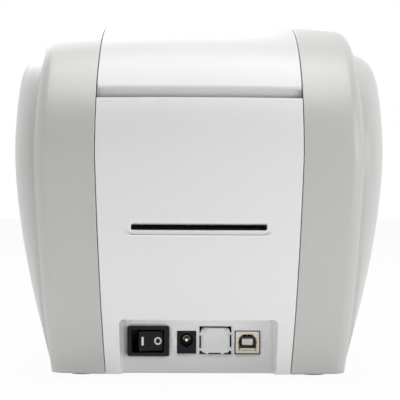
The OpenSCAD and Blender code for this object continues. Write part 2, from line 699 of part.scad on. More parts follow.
module feed_shaft(y) {
    color(steel) x_rod([y, roller_z], -plate_out - bush_flange - 0.6, gear_x + gear_w + 1.5, shaft_r);
    color(cream) gear([y, roller_z], gear_x, gear_w, roller_teeth, 0, shaft_r);
    color(steel) x_rod([y, roller_z], plate_out + bush_flange + 0.25, gear_x, shaft_r + 1.5);
    color(steel) x_rod([y, roller_z], -plate_out - bush_flange - 1.4, -plate_out - bush_flange - 0.3, shaft_r + 1.2);
}
module feed_roller(y) {
    color(rubber) difference() {
        x_rod([y, roller_z], -roller_w / 2, roller_w / 2, roller_r);
        x_rod([y, roller_z], -roller_w, roller_w, shaft_r);
    }
}
module exit_roller() { feed_roller(roller_ys[0]); }
module rear_roller() { feed_roller(roller_ys[1]); }
module platen_roller() { feed_roller(roller_ys[2]); }
module front_roller() { feed_roller(roller_ys[3]); }
module pick_roller() { feed_roller(roller_ys[4]); }
module exit_shaft() { feed_shaft(roller_ys[0]); }
module rear_shaft() { feed_shaft(roller_ys[1]); }
module platen_shaft() { feed_shaft(roller_ys[2]); }
module front_shaft() { feed_shaft(roller_ys[3]); }
module pick_shaft() { feed_shaft(roller_ys[4]); }

module idler(y) {
    p = [y, roller_z];
    color(cream) difference() {
        gear(p, gear_x, gear_w, idler_teeth, 180 / idler_teeth, stud_r + fit_gap);
        for (a = [30:60:330]) x_rod(p + gear_m * idler_teeth * 0.29 * [cos(a), sin(a)], 0, 60, gear_m * 3);
    }
}
module exit_idler() { idler(idler_ys[0]); }
module rear_idler() { idler(idler_ys[1]); }
module front_idler() { idler(idler_ys[2]); }
module pick_idler() { idler(idler_ys[3]); }

module reduction_gear() color(cream) {
    gear(reduction, gear_x, large_x - gear_x, small_teeth, 0, stud_r + fit_gap);
    gear(reduction, large_x, gear_w, large_teeth, 0, stud_r + fit_gap);
}
module motor_pinion() color("#c8a860") {
    difference() {
        gear(motor_axis, large_x - 1, gear_w + 1, pinion_teeth, 180 / pinion_teeth, motor_shaft_r);
    }
    x_rod(motor_axis, motor_len_shaft, large_x + gear_w + 1, motor_shaft_r);
}
motor_w = 26;
motor_len = 30;
motor_len_shaft = plate_out + 0.4;

module drive_motor() color(black) {
    difference() {
        union() {
            block(plate_in - motor_len, plate_in, motor_axis[0] - motor_w / 2, motor_axis[0] + motor_w / 2,
                motor_axis[1] - motor_w / 2 + 5, motor_axis[1] + motor_w / 2);
            x_rod(motor_axis, plate_in - eps, plate_out + 0.1, pinion_r + 1.8);
        }
        x_rod(motor_axis, plate_out - 0.6, plate_out + 1, motor_shaft_r + 0.4);
    }
}

// Card path
bed_front = hopper_front + 1;
bed_rear = plate_rear;
module card_bed() color(black) {
    half = plate_in - 0.02;
    difference() {
        block(-half, half, bed_front, bed_rear, path_z - 2.5, path_z - 0.3);
        for (y = roller_ys) block(-roller_w / 2 - 1, roller_w / 2 + 1, y - roller_r - 0.5, y + roller_r + 0.5,
            path_z - 5, path_z + 1);
        both() block(27.5, plate_in + 1, bed_front - 1, plate_front + 4, path_z - 5, path_z + 1);
    }
    both() block(28.6, 30.2, hopper_back + 4, bed_rear, path_z - 0.3 - eps, path_z + 0.9);
    for (y = idler_ys)
        block(-half, half, y - 1, y + 1, path_z - 5.5, path_z - 2.5 + eps);
}

module rear_slot_guide() color(black) {
    low = path_z - 5;
    high = path_z + 8;
    difference() {
        intersection() {
            block(-plate_in - 1.3, plate_in + 1.3, bed_rear + 0.3, y_rear, low, high);
            skin_block(u_rear(high + 3), u_rear(low - 3), 3, wall + 0.3, 40, function(z) centre_half(z) - 8);
        }
        translate([-slot_w / 2, 0, 0]) rotate([90, 0, 90]) linear_extrude(slot_w) polygon([
            [bed_rear - 1, path_z - 1.4], [y_rear, slot_z - slot_h / 2 + 0.2],
            [y_rear, slot_z + slot_h / 2 - 0.2], [bed_rear - 1, path_z + 5]
        ]);
    }
}

hopper_x = 28;
hopper_t = 2;
hopper_top = feeder_high - 8.5;
weight_y = [hopper_front + 18, hopper_back - 25];
weight_h = 10;
weight_travel = 30;
lug_y = (weight_y[0] + weight_y[1]) / 2;
module input_hopper() color(black) {
    difference() {
        union() {
            both() block(hopper_x, hopper_x + hopper_t, hopper_front, hopper_back + 2, path_z - 0.3, hopper_top);
            block(-hopper_x - eps, hopper_x + eps, hopper_back, hopper_back + 2, path_z + 1.3, hopper_top);
            both() block(hopper_x + hopper_t - eps, plate_in, plate_front + 4, plate_front + 6, path_z - 0.3, hopper_top);
            both() block(hopper_x + hopper_t - eps, plate_in, hopper_back, hopper_back + 2, path_z + 1.3, hopper_top);
        }
        both() block(hopper_x - 1, hopper_x + hopper_t + 1, lug_y - 3, lug_y + 3, path_z + 3, hopper_top - 4);
    }
}
module card_weight() color(grey) {
    low = path_z + 0.3;
    difference() {
        block(-hopper_x + 0.5, hopper_x - 0.5, weight_y[0], weight_y[1], low, low + weight_h);
        block(-hopper_x + 3, hopper_x - 3, weight_y[0] + 3, lug_y - 6, low + 3, low + weight_h + 1);
        block(-hopper_x + 3, hopper_x - 3, lug_y + 6, weight_y[1] - 3, low + 3, low + weight_h + 1);
    }
    both() block(hopper_x - 1, hopper_x + hopper_t + 1.2, lug_y - 2.6, lug_y + 2.6, low + 4, low + 9);
}

bay_x = mouth_w / 2 + 0.2;
bay_front = hopper_front - 2;
bay_rear = hopper_back - 15;
bay_low = output_low - 2.4;
module output_bay() color(black) {
    difference() {
        block(-bay_x - 2, bay_x + 2, bay_front, bay_rear + 2, bay_low, output_high + 1.8);
        block(-bay_x, bay_x, bay_front - 1, bay_rear, output_low, output_high);
        block(-bay_x + 3, bay_x - 3, bay_rear - 22, bay_rear - 2, output_high - 1, output_high + 3);
    }
    both() block(bay_x - 1.2, bay_x + 0.1, bay_front + 4, bay_rear + 1, output_low + 3.4, output_low + 5);
}
tray_travel = 45;
module output_tray() color(black) {
    x1 = mouth_w / 2 - 0.7;
    low = output_low + 0.3;
    block(-x1, x1, front_y(low) + wall + 4, bay_rear - 4, low, low + 2.4);
    both() block(x1 - 3.5, x1 - 1.8, front_y(low) + wall + 4, bay_rear - 6, low + 2.4 - eps, low + 9);
    skin_block(u_front(low + 1.2), u_front(low + 11), 3, 0, 8.5, function(z) x1);
}

// Main board and connectors
board_half = plate_in - 0.5;
module main_board() color("#1f5a3a") difference() {
    block(-board_half, board_half, board_front, board_front + board_len, board_top - board_t, board_top);
    for (y = post_ys) both() translate([post_x, y, 0]) cylinder(h = 40, r = screw_r + fit_gap);
    block(switch_x - switch_body_w / 2 - 0.5, plate_in, conn_y - switch_depth - 0.5, conn_y, 0, 40);
}
module board_components() color(black) {
    y0 = board_front;
    for (c = [[-24, 16, 14, 14, 2.2], [4, 22, 20, 20, 2.4], [-6, 46, 12, 10, 1.8], [22, 52, 10, 8, 1.8],
            [-30, 34, 6, 18, 7], [24, 8, 8, 18, 8]])
        translate([c[0], y0 + c[1], board_top]) cube([c[2], c[3], c[4]]);
    for (c = [[16, 60, 4, 11], [6, 62, 4, 11], [-14, 62, 3, 8], [-22, 62, 3, 8]])
        translate([c[0], y0 + c[1], board_top]) cylinder(h = c[3], r = c[2]);
}
usb_depth = 16;
port_w = 8.6;
port_h = 7.9;
module usb_socket() color(cream) {
    x = usb_x;
    z = usb_z;
    difference() {
        block(x - usb_w / 2, x + usb_w / 2, conn_y - usb_depth, conn_y - 0.4, board_top, z + usb_h / 2);
        translate([x, conn_y + 1, z]) rotate([90, 0, 0]) linear_extrude(10) polygon([
            [-port_w / 2, -port_h / 2], [port_w / 2, -port_h / 2], [port_w / 2, port_h / 2 - 2],
            [port_w / 2 - 2, port_h / 2], [-port_w / 2 + 2, port_h / 2], [-port_w / 2, port_h / 2 - 2]
        ]);
    }
}
module usb_tongue() color("gainsboro")
    block(usb_x - 2.8, usb_x + 2.8, conn_y - 9, conn_y - 1.2, usb_z - 1.6, usb_z + 1.6);

jack_depth = 14;
jack_hole_r = 3.15;
jack_hole_z = jack_z + 1.1;
module dc_jack() color(black) difference() {
    block(jack_x - jack_w / 2, jack_x + jack_w / 2, conn_y - jack_depth, conn_y - 0.2, board_top, jack_z + jack_h / 2);
    translate([jack_x, conn_y - 10, jack_hole_z]) rotate([-90, 0, 0]) cylinder(h = 12, r = jack_hole_r);
}
pin_r = 1.05;
module dc_jack_pin() color(steel) translate([jack_x, conn_y - 10, jack_hole_z]) rotate([-90, 0, 0])
    cylinder(h = 9, r = pin_r);

bezel_t = 1.6;
switch_depth = 14;
rocker_w = bezel_w - 4.8;
rocker_h = bezel_h - 4.4;
rocker_axis_y = conn_y - 4;
rocker_tilt = 10;
module switch_housing() color(black) difference() {
    union() {
        block(switch_x - bezel_w / 2, switch_x + bezel_w / 2, conn_y, conn_y + bezel_t,
            switch_z - bezel_h / 2, switch_z + bezel_h / 2);
        block(switch_x - switch_body_w / 2, switch_x + switch_body_w / 2, conn_y - switch_depth, conn_y + eps,
            switch_z - switch_body_h / 2, switch_z + switch_body_h / 2);
    }
    block(switch_x - rocker_w / 2 - 0.3, switch_x + rocker_w / 2 + 0.3, conn_y - 10, conn_y + 5,
        switch_z - rocker_h / 2 - 0.3, switch_z + rocker_h / 2 + 0.3);
    translate([switch_x, rocker_axis_y, switch_z - rocker_h / 2 - 1.3]) cylinder(h = rocker_h + 2.6, r = 1 + fit_gap);
}
module power_rocker() color(black) {
    h = rocker_w / 2 - 0.9;
    translate([switch_x, rocker_axis_y, switch_z - rocker_h / 2]) rotate([0, 0, rocker_tilt]) {
        linear_extrude(rocker_h) polygon([
            [-h, -1], [-h * 0.5, -3.5], [h * 0.5, -3.5], [h, -1],
            [h, 4 + bezel_t - 0.4], [0, 4 + bezel_t - 1.2], [-h, 4 + bezel_t - 0.4]
        ]);
        translate([0, 0, -1.2]) cylinder(h = rocker_h + 2.4, r = 1);
    }
}

// Ribbon and pinch parts
flange_t = 1.5;
module spool(p, r) {
    half = plate_in - 2.2;
    color(black) {
        x_rod(p, -half, half, 6);
        both() x_rod(p, half - flange_t, half, r + 2);
        both() x_rod(p, half - eps, plate_out + 0.5, journal_r);
    }
    color("#5b3b6b") x_rod(p, -half + flange_t - eps, half - flange_t + eps, r);
}
module supply_spool() { spool(spools[0], supply_r); }
module takeup_spool() { spool(spools[1], takeup_r); }
module takeup_motor() color(grey) {
    p = spools[1];
    mirror([1, 0, 0]) {
        x_rod(p, plate_out + 1.2, plate_out + 22, 12);
        x_rod(p, plate_out + 22 - eps, plate_out + 24, 4);
        for (s = [-1, 1]) translate([0, s * 14, 0]) x_rod(p, plate_out, plate_out + 1.3, 3.5);
        block(plate_out + 1.2, plate_out + 2.4, p[0] - 17, p[0] + 17, p[1] - 4, p[1] + 4);
    }
}
film_w = 56;
module ribbon_film() color("#3a2a44") {
    t = film_t;
    low = guide_z - rod_r - t - 0.05;
    translate([-film_w / 2, 0, 0]) rotate([90, 0, 90]) linear_extrude(film_w) polygon([
        [takeup_y + takeup_r * 0.4 + 1, spool_z - takeup_r - 0.9], [guide_ys[1] - 1.6, low], [guide_ys[1] + 1, low],
        [platen_y - 5, film_z], [platen_y + 5, film_z], [guide_ys[0] - 1, low], [guide_ys[0] + 1.5, low],
        [supply_y - supply_r * 0.7, spool_z - supply_r - 0.9], [supply_y - supply_r * 0.7, spool_z - supply_r - 0.9 + t],
        [guide_ys[0] + 1.5, low + t], [guide_ys[0] - 1, low + t],
        [platen_y + 5, film_z + t], [platen_y - 5, film_z + t], [guide_ys[1] + 1, low + t],
        [guide_ys[1] - 1.6, low + t], [takeup_y + takeup_r * 0.4 + 1, spool_z - takeup_r - 0.9 + t]
    ]);
}
pinch_shaft_r = 1.5;
pinch_z = path_z + card_t + pinch_r;
cleaning_z = path_z + card_t + cleaning_r;
pinch_axes = [[roller_ys[0], pinch_z], [roller_ys[1], pinch_z], [roller_ys[3], cleaning_z]];
module pinch(p, r) {
    color(rubber) difference() {
        x_rod(p, -roller_w / 2, roller_w / 2, r);
        x_rod(p, -roller_w, roller_w, pinch_shaft_r - eps);
    }
    color(steel) x_rod(p, -plate_in + 2, plate_in - 2, pinch_shaft_r);
}
module exit_pinch_roller() { pinch(pinch_axes[0], pinch_r); }
module rear_pinch_roller() { pinch(pinch_axes[1], pinch_r); }
module cleaning_roller() { pinch(pinch_axes[2], cleaning_r); }
module pinch_brackets() color(steel)
    for (p = pinch_axes) let(top = path_z + card_t + 2 * cleaning_r + 2) difference() {
        union() {
            both() block(roller_w / 2 + 1.2, plate_in, p[0] - 4, p[0] + 4, path_z + 1.2, top);
            block(-plate_in, plate_in, p[0] - 4, p[0] + 4, top - eps, top + 1.5);
        }
        x_rod(p, -plate_in + 1.2, plate_in - 1.2, pinch_shaft_r + fit_gap);
    }

// Cover parts
beam_x = [plate_out + 1.6, plate_out + 4.6];
beam_front_u = u_cover_front + 5;
module cover_frame() color(black) {
    deep = wall + 0.15;
    us = panel_us(beam_front_u, u_rear(hinge[1] + 17), 20);
    top = [for (u = us) let(p = skin(beam_x[1], u, deep)) [p[1], p[2]]];
    low = [for (u = us) let(p = skin(beam_x[1], u, deep + 9)) [p[1], p[2]]];
    both() difference() {
        union() {
            x_plate(beam_x[0], beam_x[1], concat(top, flipped(low)));
            x_plate(beam_x[0], beam_x[1], concat(
                [for (u = panel_us(u_rear(hinge[1] + 26), u_rear(hinge[1] + 14), 4))
                    let(p = skin(beam_x[1], u, deep)) [p[1], p[2]]],
                [[hinge[0] + ear_r - 1, hinge[1]], [hinge[0] - ear_r, hinge[1] - 3]]));
            x_rod(hinge, beam_x[0], beam_x[1], ear_r);
        }
        x_rod(hinge, beam_x[0] - 1, beam_x[1] + 1, hinge_pin_r + fit_gap);
    }
    both() x_plate(hang_x, hang_x + 2.5, [
        [platen_y - 5, head_low + 2], [platen_y + 13, head_low + 2], [platen_y + 17, frame_bar],
        [platen_y - 9, frame_bar]
    ]);
    block(-beam_x[1] + eps, beam_x[1] - eps, platen_y - 9, platen_y + 17, frame_bar - eps, frame_bar + 3);
    block(-beam_x[1] + eps, beam_x[1] - eps, front_bar[0], front_bar[0] + 8, front_bar[1], front_bar[1] + 2.5);
}
hang_x = 29.6;
frame_bar = skin(beam_x[1], u_at_y(platen_y), wall + 7)[2];
front_bar = let(p = skin(beam_x[1], beam_front_u, wall + 5)) [p[1] + 1, p[2]];
head_low = path_z + 12;
module print_head() color("darkgray") {
    base = film_z + film_t + 0.35;
    x1 = hang_x - 0.05;
    difference() {
        x_plate(-x1, x1, [
            [platen_y - 3, base], [platen_y + 3, base], [platen_y + 13, head_low], [platen_y + 13, head_low + 18],
            [platen_y - 6, head_low + 18], [platen_y - 6, head_low]
        ]);
        for (i = [0:4]) block(-x1 + 3, x1 - 3, platen_y - 3.5 + 3 * i, platen_y - 2 + 3 * i, head_low + 6, head_low + 20);
    }
}

module hinge_pins() color(steel) {
    both() {
        x_rod(hinge, plate_in - 1, beam_x[1] + 0.3, hinge_pin_r);
        x_rod(hinge, beam_x[1] + 0.3, beam_x[1] + 1.5, hinge_pin_r + 1.5);
    }
    x_rod(door_axis, -mouth_w / 2 - 4, mouth_w / 2 + 4, door_pin_r);
}

module feeder_door() color(white) {
    u_hi = u_front(door_axis[1] - 0.5);
    difference() {
        union() {
            skin_block(u_front(feeder_low + 2.6), u_hi, 8, 0, wall, function(z) door_half);
            x_rod(door_axis, -door_half, door_half, barrel_r);
        }
        x_rod(door_axis, -mouth_w, mouth_w, door_pin_r + fit_gap);
        block(-9, 9, y_front - 5, front_y(feeder_low + 4) + 1.2, feeder_low, feeder_low + 4);
    }
}

module feed_button() color(grey) on_skin(0, button_u) {
    translate([0, 0, -wall]) cylinder(h = wall + 0.8, r = button_r);
    translate([0, 0, -wall - 1]) cylinder(h = 1 + eps, r = button_r - 1.5);
    translate([0, 0, -post_len + button_travel + 0.3]) cylinder(h = post_len - wall, r = 2);
}
module status_lights() color("#bfe8c8")
    for (x = light_xs) on_skin(x, button_u) translate([0, 0, -post_len + 0.6]) cylinder(h = post_len - 0.3, r = light_r);
module panel_board() color("#1f5a3a") on_skin(0, button_u)
    block(-30, 30, -7, 7, -post_len - 2, -post_len - 0.4);
module cover_latch() color(grey) on_skin(0, latch_u) {
    block(-latch_stem_w / 2, latch_stem_w / 2, -latch_stem_l / 2, latch_stem_l / 2, -wall - 3, 0.6);
    block(-latch_stem_w / 2 - 3, latch_stem_w / 2 + 3, -latch_stem_l / 2 - 2, latch_stem_l / 2 + 2, 0.4, 2.2);
    block(-latch_stem_w / 2 - 3, latch_stem_w / 2 + 3, -latch_stem_l / 2 - 1, latch_stem_l / 2 + 2,
        -wall - 3, -wall - 0.9);
}
module screw(z_low, z_head) {
    translate([0, 0, z_low]) cylinder(h = z_head - z_low, r = screw_r);
    difference() {
        translate([0, 0, z_head]) cylinder(h = 1.6, r = screw_r + 1.3);
        translate([-0.4, -2, z_head + 0.9]) cube([0.8, 4, 2]);
        translate([-2, -0.4, z_head + 0.9]) cube([4, 0.8, 2]);
    }
}
module case_screws() color(steel) {
    for (y = tab_ys) both() translate([tab_x, y, 0]) screw(foot_h + 0.3, base_top + plate_t);
    for (y = post_ys) both() translate([post_x, y, 0]) screw(base_top + 1.5, board_top);
}

base_tray();
rubber_feet();
left_side_shell();
right_side_shell();
rear_panel();
front_panel();
left_chassis_plate();
right_chassis_plate();
chassis_rods();
card_bed();
rear_slot_guide();
input_hopper();
output_bay();
main_board();
board_components();
usb_socket();
usb_tongue();
dc_jack();
dc_jack_pin();
switch_housing();
drive_motor();
takeup_motor();
roller_bushings();
gear_studs();
hinge_pins();
case_screws();
status_lights();
panel_board();
pinch_brackets();
ribbon_film();
top_cover();
cover_frame();
print_head();
feeder_door();
output_tray();
card_weight();
cover_latch();
feed_button();
power_rocker();
exit_roller();
rear_roller();
platen_roller();
front_roller();
pick_roller();
exit_shaft();
rear_shaft();
platen_shaft();
front_shaft();
pick_shaft();
exit_idler();
rear_idler();
front_idler();
pick_idler();
reduction_gear();
motor_pinion();
rear_pinch_roller();
exit_pinch_roller();
cleaning_roller();
supply_spool();
takeup_spool();
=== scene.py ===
import json
import math

import bmesh
import bpy
import numpy as np
from mathutils import Matrix, Quaternion, Vector
from mathutils.geometry import delaunay_2d_cdt


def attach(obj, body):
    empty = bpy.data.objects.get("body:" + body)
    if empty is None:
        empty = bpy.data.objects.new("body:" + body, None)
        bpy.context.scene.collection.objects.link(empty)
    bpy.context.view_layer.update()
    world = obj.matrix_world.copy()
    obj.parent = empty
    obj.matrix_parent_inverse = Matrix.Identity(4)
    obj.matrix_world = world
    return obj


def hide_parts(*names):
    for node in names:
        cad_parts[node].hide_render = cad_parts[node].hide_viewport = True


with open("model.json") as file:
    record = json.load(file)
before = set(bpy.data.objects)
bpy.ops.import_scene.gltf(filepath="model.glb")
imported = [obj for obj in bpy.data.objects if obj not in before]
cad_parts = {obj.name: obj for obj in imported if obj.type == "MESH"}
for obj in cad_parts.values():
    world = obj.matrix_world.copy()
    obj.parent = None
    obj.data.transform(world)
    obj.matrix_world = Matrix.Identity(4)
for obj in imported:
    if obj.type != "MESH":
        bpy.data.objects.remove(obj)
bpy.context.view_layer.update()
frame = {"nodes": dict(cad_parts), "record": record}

MM = 0.001

# The camera stands level behind the printer, a little to one side of its middle, as in the photograph.
EYE, AIM = Vector((0.003, 0.812, 0.0903)), Vector((-0.0006, 0.13, 0.0907))
FOCAL_LENGTH, ROLL = 121.5, 0.25

scene = bpy.context.scene
lens = bpy.data.cameras.new("rear_camera")
lens.sensor_width = 36
lens.lens = FOCAL_LENGTH
lens.clip_end = 30
camera = bpy.data.objects.new("rear_camera", lens)
camera.location = EYE
level = (AIM - EYE).to_track_quat("-Z", "Y")
camera.rotation_euler = (level @ Quaternion((0, 0, 1), math.radians(ROLL))).to_euler()
scene.collection.objects.link(camera)
scene.camera = camera
scene.view_settings.view_transform = "Standard"


# The studio is a white sweep under one large overhead softbox, with weaker panels at the sides. The white
# ground and sky are seen by the camera, by gloss and through clear parts. To the printer, the ground round it
# is a soft glow that fades with distance.
def node(tree, kind, **settings):
    made = tree.nodes.new(kind)
    for key, value in settings.items():
        setattr(made, key, value)
    return made


def join(tree, *pairs):
    """Links each pair of an output and an input. A node stands for its first output."""
    for source, socket in pairs:
        tree.links.new(source if isinstance(source, bpy.types.NodeSocket) else source.outputs[0], socket)


def soft_panel(name, place, look_at, size, watts):
    lamp = bpy.data.lights.new(name, "AREA")
    lamp.shape = "RECTANGLE"
    lamp.size, lamp.size_y = size
    lamp.energy = watts
    panel = bpy.data.objects.new(name, lamp)
    panel.location = place
    panel.rotation_euler = (Vector(look_at) - Vector(place)).to_track_quat("-Z", "Y").to_euler()
    scene.collection.objects.link(panel)


soft_panel("overhead_softbox", (0.0, 0.1, 1.5), (0, 0.02, 0.08), (1.3, 1.3), 17.3)
soft_panel("right_panel", (-1.3, 0.7, 0.55), (0, 0, 0.1), (0.7, 0.9), 6.0)
soft_panel("left_panel", (1.3, 0.2, 0.7), (0, 0, 0.1), (0.7, 0.9), 0.6)
soft_panel("front_panel_lamp", (0.3, -1.4, 1.0), (0, 0, 0.1), (0.9, 0.9), 5.7)


def backdrop(tree, light, white, out):
    """Shows white to camera, gloss and transmission rays, and the given light to the rest."""
    path = node(tree, "ShaderNodeLightPath")
    either = node(tree, "ShaderNodeMath", operation="MAXIMUM")
    seen = node(tree, "ShaderNodeMath", operation="MAXIMUM")
    mix = node(tree, "ShaderNodeMixShader")
    gloss, through, camera = (path.outputs[f"Is {ray} Ray"] for ray in ("Glossy", "Transmission", "Camera"))
    join(tree, (gloss, either.inputs[0]), (through, either.inputs[1]), (camera, seen.inputs[0]),
         (either, seen.inputs[1]), (seen, mix.inputs[0]), (light, mix.inputs[1]), (white, mix.inputs[2]),
         (mix, out.inputs[0]))


SKY_LOW, SKY_HIGH = (0.02, 0.02, 0.02, 1), (0.12, 0.12, 0.12, 1)
sky = bpy.data.worlds.new("studio_sky")
scene.world = sky
sky.use_nodes = True
tree = sky.node_tree
tree.nodes.clear()
coords = node(tree, "ShaderNodeTexCoord")
split = node(tree, "ShaderNodeSeparateXYZ")
ramp = node(tree, "ShaderNodeValToRGB")
light = node(tree, "ShaderNodeBackground")
white = node(tree, "ShaderNodeBackground")
white.inputs[0].default_value = (1, 1, 1, 1)
for end, colour in zip(ramp.color_ramp.elements, (SKY_LOW, SKY_HIGH)):
    end.color = colour
join(tree, (coords.outputs["Generated"], split.inputs[0]), (split.outputs["Z"], ramp.inputs[0]),
     (ramp, light.inputs[0]))
backdrop(tree, light, white, node(tree, "ShaderNodeOutputWorld"))

FLOOR_REACH, PAPER_GREY, PAPER_WHITE_SHARE = 6, (0.9, 0.9, 0.9, 1), 0.96
GLOW_FADE, GLOW_NEAR = (0.5, 2.0, 0.82, 0.0), (0.0, 0.5, 0.18, 1.0)
floor_mesh = bpy.data.meshes.new("studio_floor")
floor_mesh.from_pydata([(x * FLOOR_REACH, y * FLOOR_REACH, 0) for x, y in ((-1, -1), (1, -1), (1, 1), (-1, 1))], [],
                       [(0, 1, 2, 3)])
floor = bpy.data.objects.new("studio_floor", floor_mesh)
scene.collection.objects.link(floor)
paper = bpy.data.materials.new("studio_paper")
paper.use_nodes = True
tree = paper.node_tree
tree.nodes.clear()
matt = node(tree, "ShaderNodeBsdfDiffuse")
matt.inputs[0].default_value = PAPER_GREY
centre = node(tree, "ShaderNodeTexCoord")
away = node(tree, "ShaderNodeVectorMath", operation="LENGTH")
both = node(tree, "ShaderNodeMath", operation="MULTIPLY")
bounce = node(tree, "ShaderNodeEmission")
lit = node(tree, "ShaderNodeAddShader")
join(tree, (centre.outputs["Object"], away.inputs[0]), (both, bounce.inputs[1]), (matt, lit.inputs[0]),
     (bounce, lit.inputs[1]))
for numbers, factor in zip((GLOW_FADE, GLOW_NEAR), both.inputs):
    share = node(tree, "ShaderNodeMapRange")
    for socket, number in zip(share.inputs[1:5], numbers):
        socket.default_value = number
    join(tree, (away.outputs["Value"], share.inputs[0]), (share, factor))
part_white = node(tree, "ShaderNodeMixShader")
part_white.inputs[0].default_value = PAPER_WHITE_SHARE
join(tree, (matt, part_white.inputs[1]), (node(tree, "ShaderNodeEmission"), part_white.inputs[2]))
backdrop(tree, lit, part_white, node(tree, "ShaderNodeOutputMaterial"))
paper.cycles.emission_sampling = "NONE"
floor_mesh.materials.append(paper)

# The case's skin. Its side profile is four quarter ellipses, and it bends a little across the printer. Each
# case moulding is laid out flat, as sideways place, profile angle and depth, and wrapped by one node tree.
CROWN_Y, CROWN_Z, BASE_Z = 50.0, 188.0, 3.0
FRONT_REACH, REAR_REACH = 220.0, 120.0
FRONT_BULGE, REAR_BULGE = 84.0, 114.0
FRONT_LOW = (FRONT_BULGE - BASE_Z) / math.sqrt(1 - (1 - 14 / FRONT_REACH) ** 2)
REAR_LOW = (REAR_BULGE - BASE_Z) / math.sqrt(1 - (1 - 34 / REAR_REACH) ** 2)
TOP_BEND, END_BEND = 1 / 800, 1 / 350
WALL, SKIRT, PANEL_GAP = 2.5, 9.0, 0.45
CENTRE_HALF, CENTRE_NARROWING, RIM_HALF, RIM_NARROWING = 50.4, 3.6, 79.8, 5.1


def profile(u):
    """Point (y, z) of the side profile at angle u, from the front's lower edge over the crown to the rear's."""
    w = u if u <= 90 else 180 - u
    reach, bulge, low = (FRONT_REACH, FRONT_BULGE, FRONT_LOW) if u <= 90 else (REAR_REACH, REAR_BULGE, REAR_LOW)
    b = CROWN_Z - bulge if w >= 0 else low
    return CROWN_Y - reach * math.cos(math.radians(u)), bulge + b * math.sin(math.radians(w))


def crown_share(u):
    return max(0.0, math.sin(math.radians(u if u <= 90 else 180 - u)))


def bend(u):
    return END_BEND + (TOP_BEND - END_BEND) * crown_share(u) ** 2


def reach(u):
    y, z = profile(u)
    return math.hypot(y, z - BASE_Z)


def skin(x, u, d=0.0):
    """Point of the skin at sideways place x and angle u, d in."""
    y, z = profile(u)
    k = 1 - (d + bend(u) * x * x / 2) / reach(u)
    return Vector((x, y * k, BASE_Z + (z - BASE_Z) * k))


def angle_at(z, rear):
    """Angle of the front or rear face at height z on the middle line."""
    if rear:
        return 180 - math.degrees(math.asin((z - REAR_BULGE) / (CROWN_Z - REAR_BULGE if z >= REAR_BULGE else REAR_LOW)))
    return math.degrees(math.asin((z - FRONT_BULGE) / (CROWN_Z - FRONT_BULGE if z >= FRONT_BULGE else FRONT_LOW)))


LOW_FRONT_U, LOW_REAR_U = angle_at(BASE_Z, False), angle_at(BASE_Z, True)
ANGLES = np.linspace(LOW_FRONT_U - 4, LOW_REAR_U + 4, 6000)
PLACES = np.array([profile(u) for u in ANGLES])
LENGTHS = np.concatenate(([0], np.cumsum(np.hypot(*np.diff(PLACES, axis=0).T))))
TURNS = np.arctan2(PLACES[:, 1] - BASE_Z, PLACES[:, 0])
TURNS[TURNS < -1] += math.tau


def length_at(u):
    return float(np.interp(u, ANGLES, LENGTHS))


def flat(p):
    """Sideways place, length along the profile and depth of a point in space."""
    u = float(np.interp(-math.atan2(p[2] - BASE_Z, p[1]), -TURNS, ANGLES))
    return p[0], length_at(u), reach(u) - math.hypot(p[1], p[2] - BASE_Z) - bend(u) * p[0] ** 2 / 2


def on_face(x, z, rear):
    """Flat place of the skin point that stands at x and at the true height z."""
    u = angle_at(z, rear)
    for _ in range(5):
        u = angle_at(min(max(profile(u)[1] + z - skin(x, u).z, BASE_Z), CROWN_Z - 0.5), rear)
    return x, length_at(u)


def low_share(z):
    return max(0.0, (REAR_BULGE - z) / (REAR_BULGE - BASE_Z))


def centre_half(z):
    return CENTRE_HALF - CENTRE_NARROWING * low_share(z)


def rim_half(z):
    return RIM_HALF - RIM_NARROWING * low_share(z)


def panel_half(z):
    return centre_half(z) - PANEL_GAP


def inputs_of(tree, sizes):
    tree.interface.new_socket("Geometry", in_out="INPUT", socket_type="NodeSocketGeometry")
    for name, value in sizes.items():
        kind = "NodeSocketInt" if isinstance(value, int) else "NodeSocketFloat"
        tree.interface.new_socket(name, in_out="INPUT", socket_type=kind).default_value = value
    tree.interface.new_socket("Finish", in_out="INPUT", socket_type="NodeSocketMaterial")
    tree.interface.new_socket("Geometry", in_out="OUTPUT", socket_type="NodeSocketGeometry")
    return node(tree, "NodeGroupInput"), node(tree, "NodeGroupOutput")


def calc(tree, operation, *terms):
    """A math node with its terms, as numbers or sockets."""
    made = node(tree, "ShaderNodeMath", operation=operation)
    for socket, term in zip(made.inputs, terms):
        if isinstance(term, (int, float)):
            socket.default_value = term
        else:
            tree.links.new(term, socket)
    return made.outputs[0]


def finish_tree(tree, given, geometry, out):
    """Ends a tree in Realize Instances and Set Material."""
    real = node(tree, "GeometryNodeRealizeInstances")
    coat = node(tree, "GeometryNodeSetMaterial")
    join(tree, (geometry, real.inputs[0]), (real, coat.inputs[0]), (given.outputs["Finish"], coat.inputs["Material"]),
         (coat, out.inputs[0]))


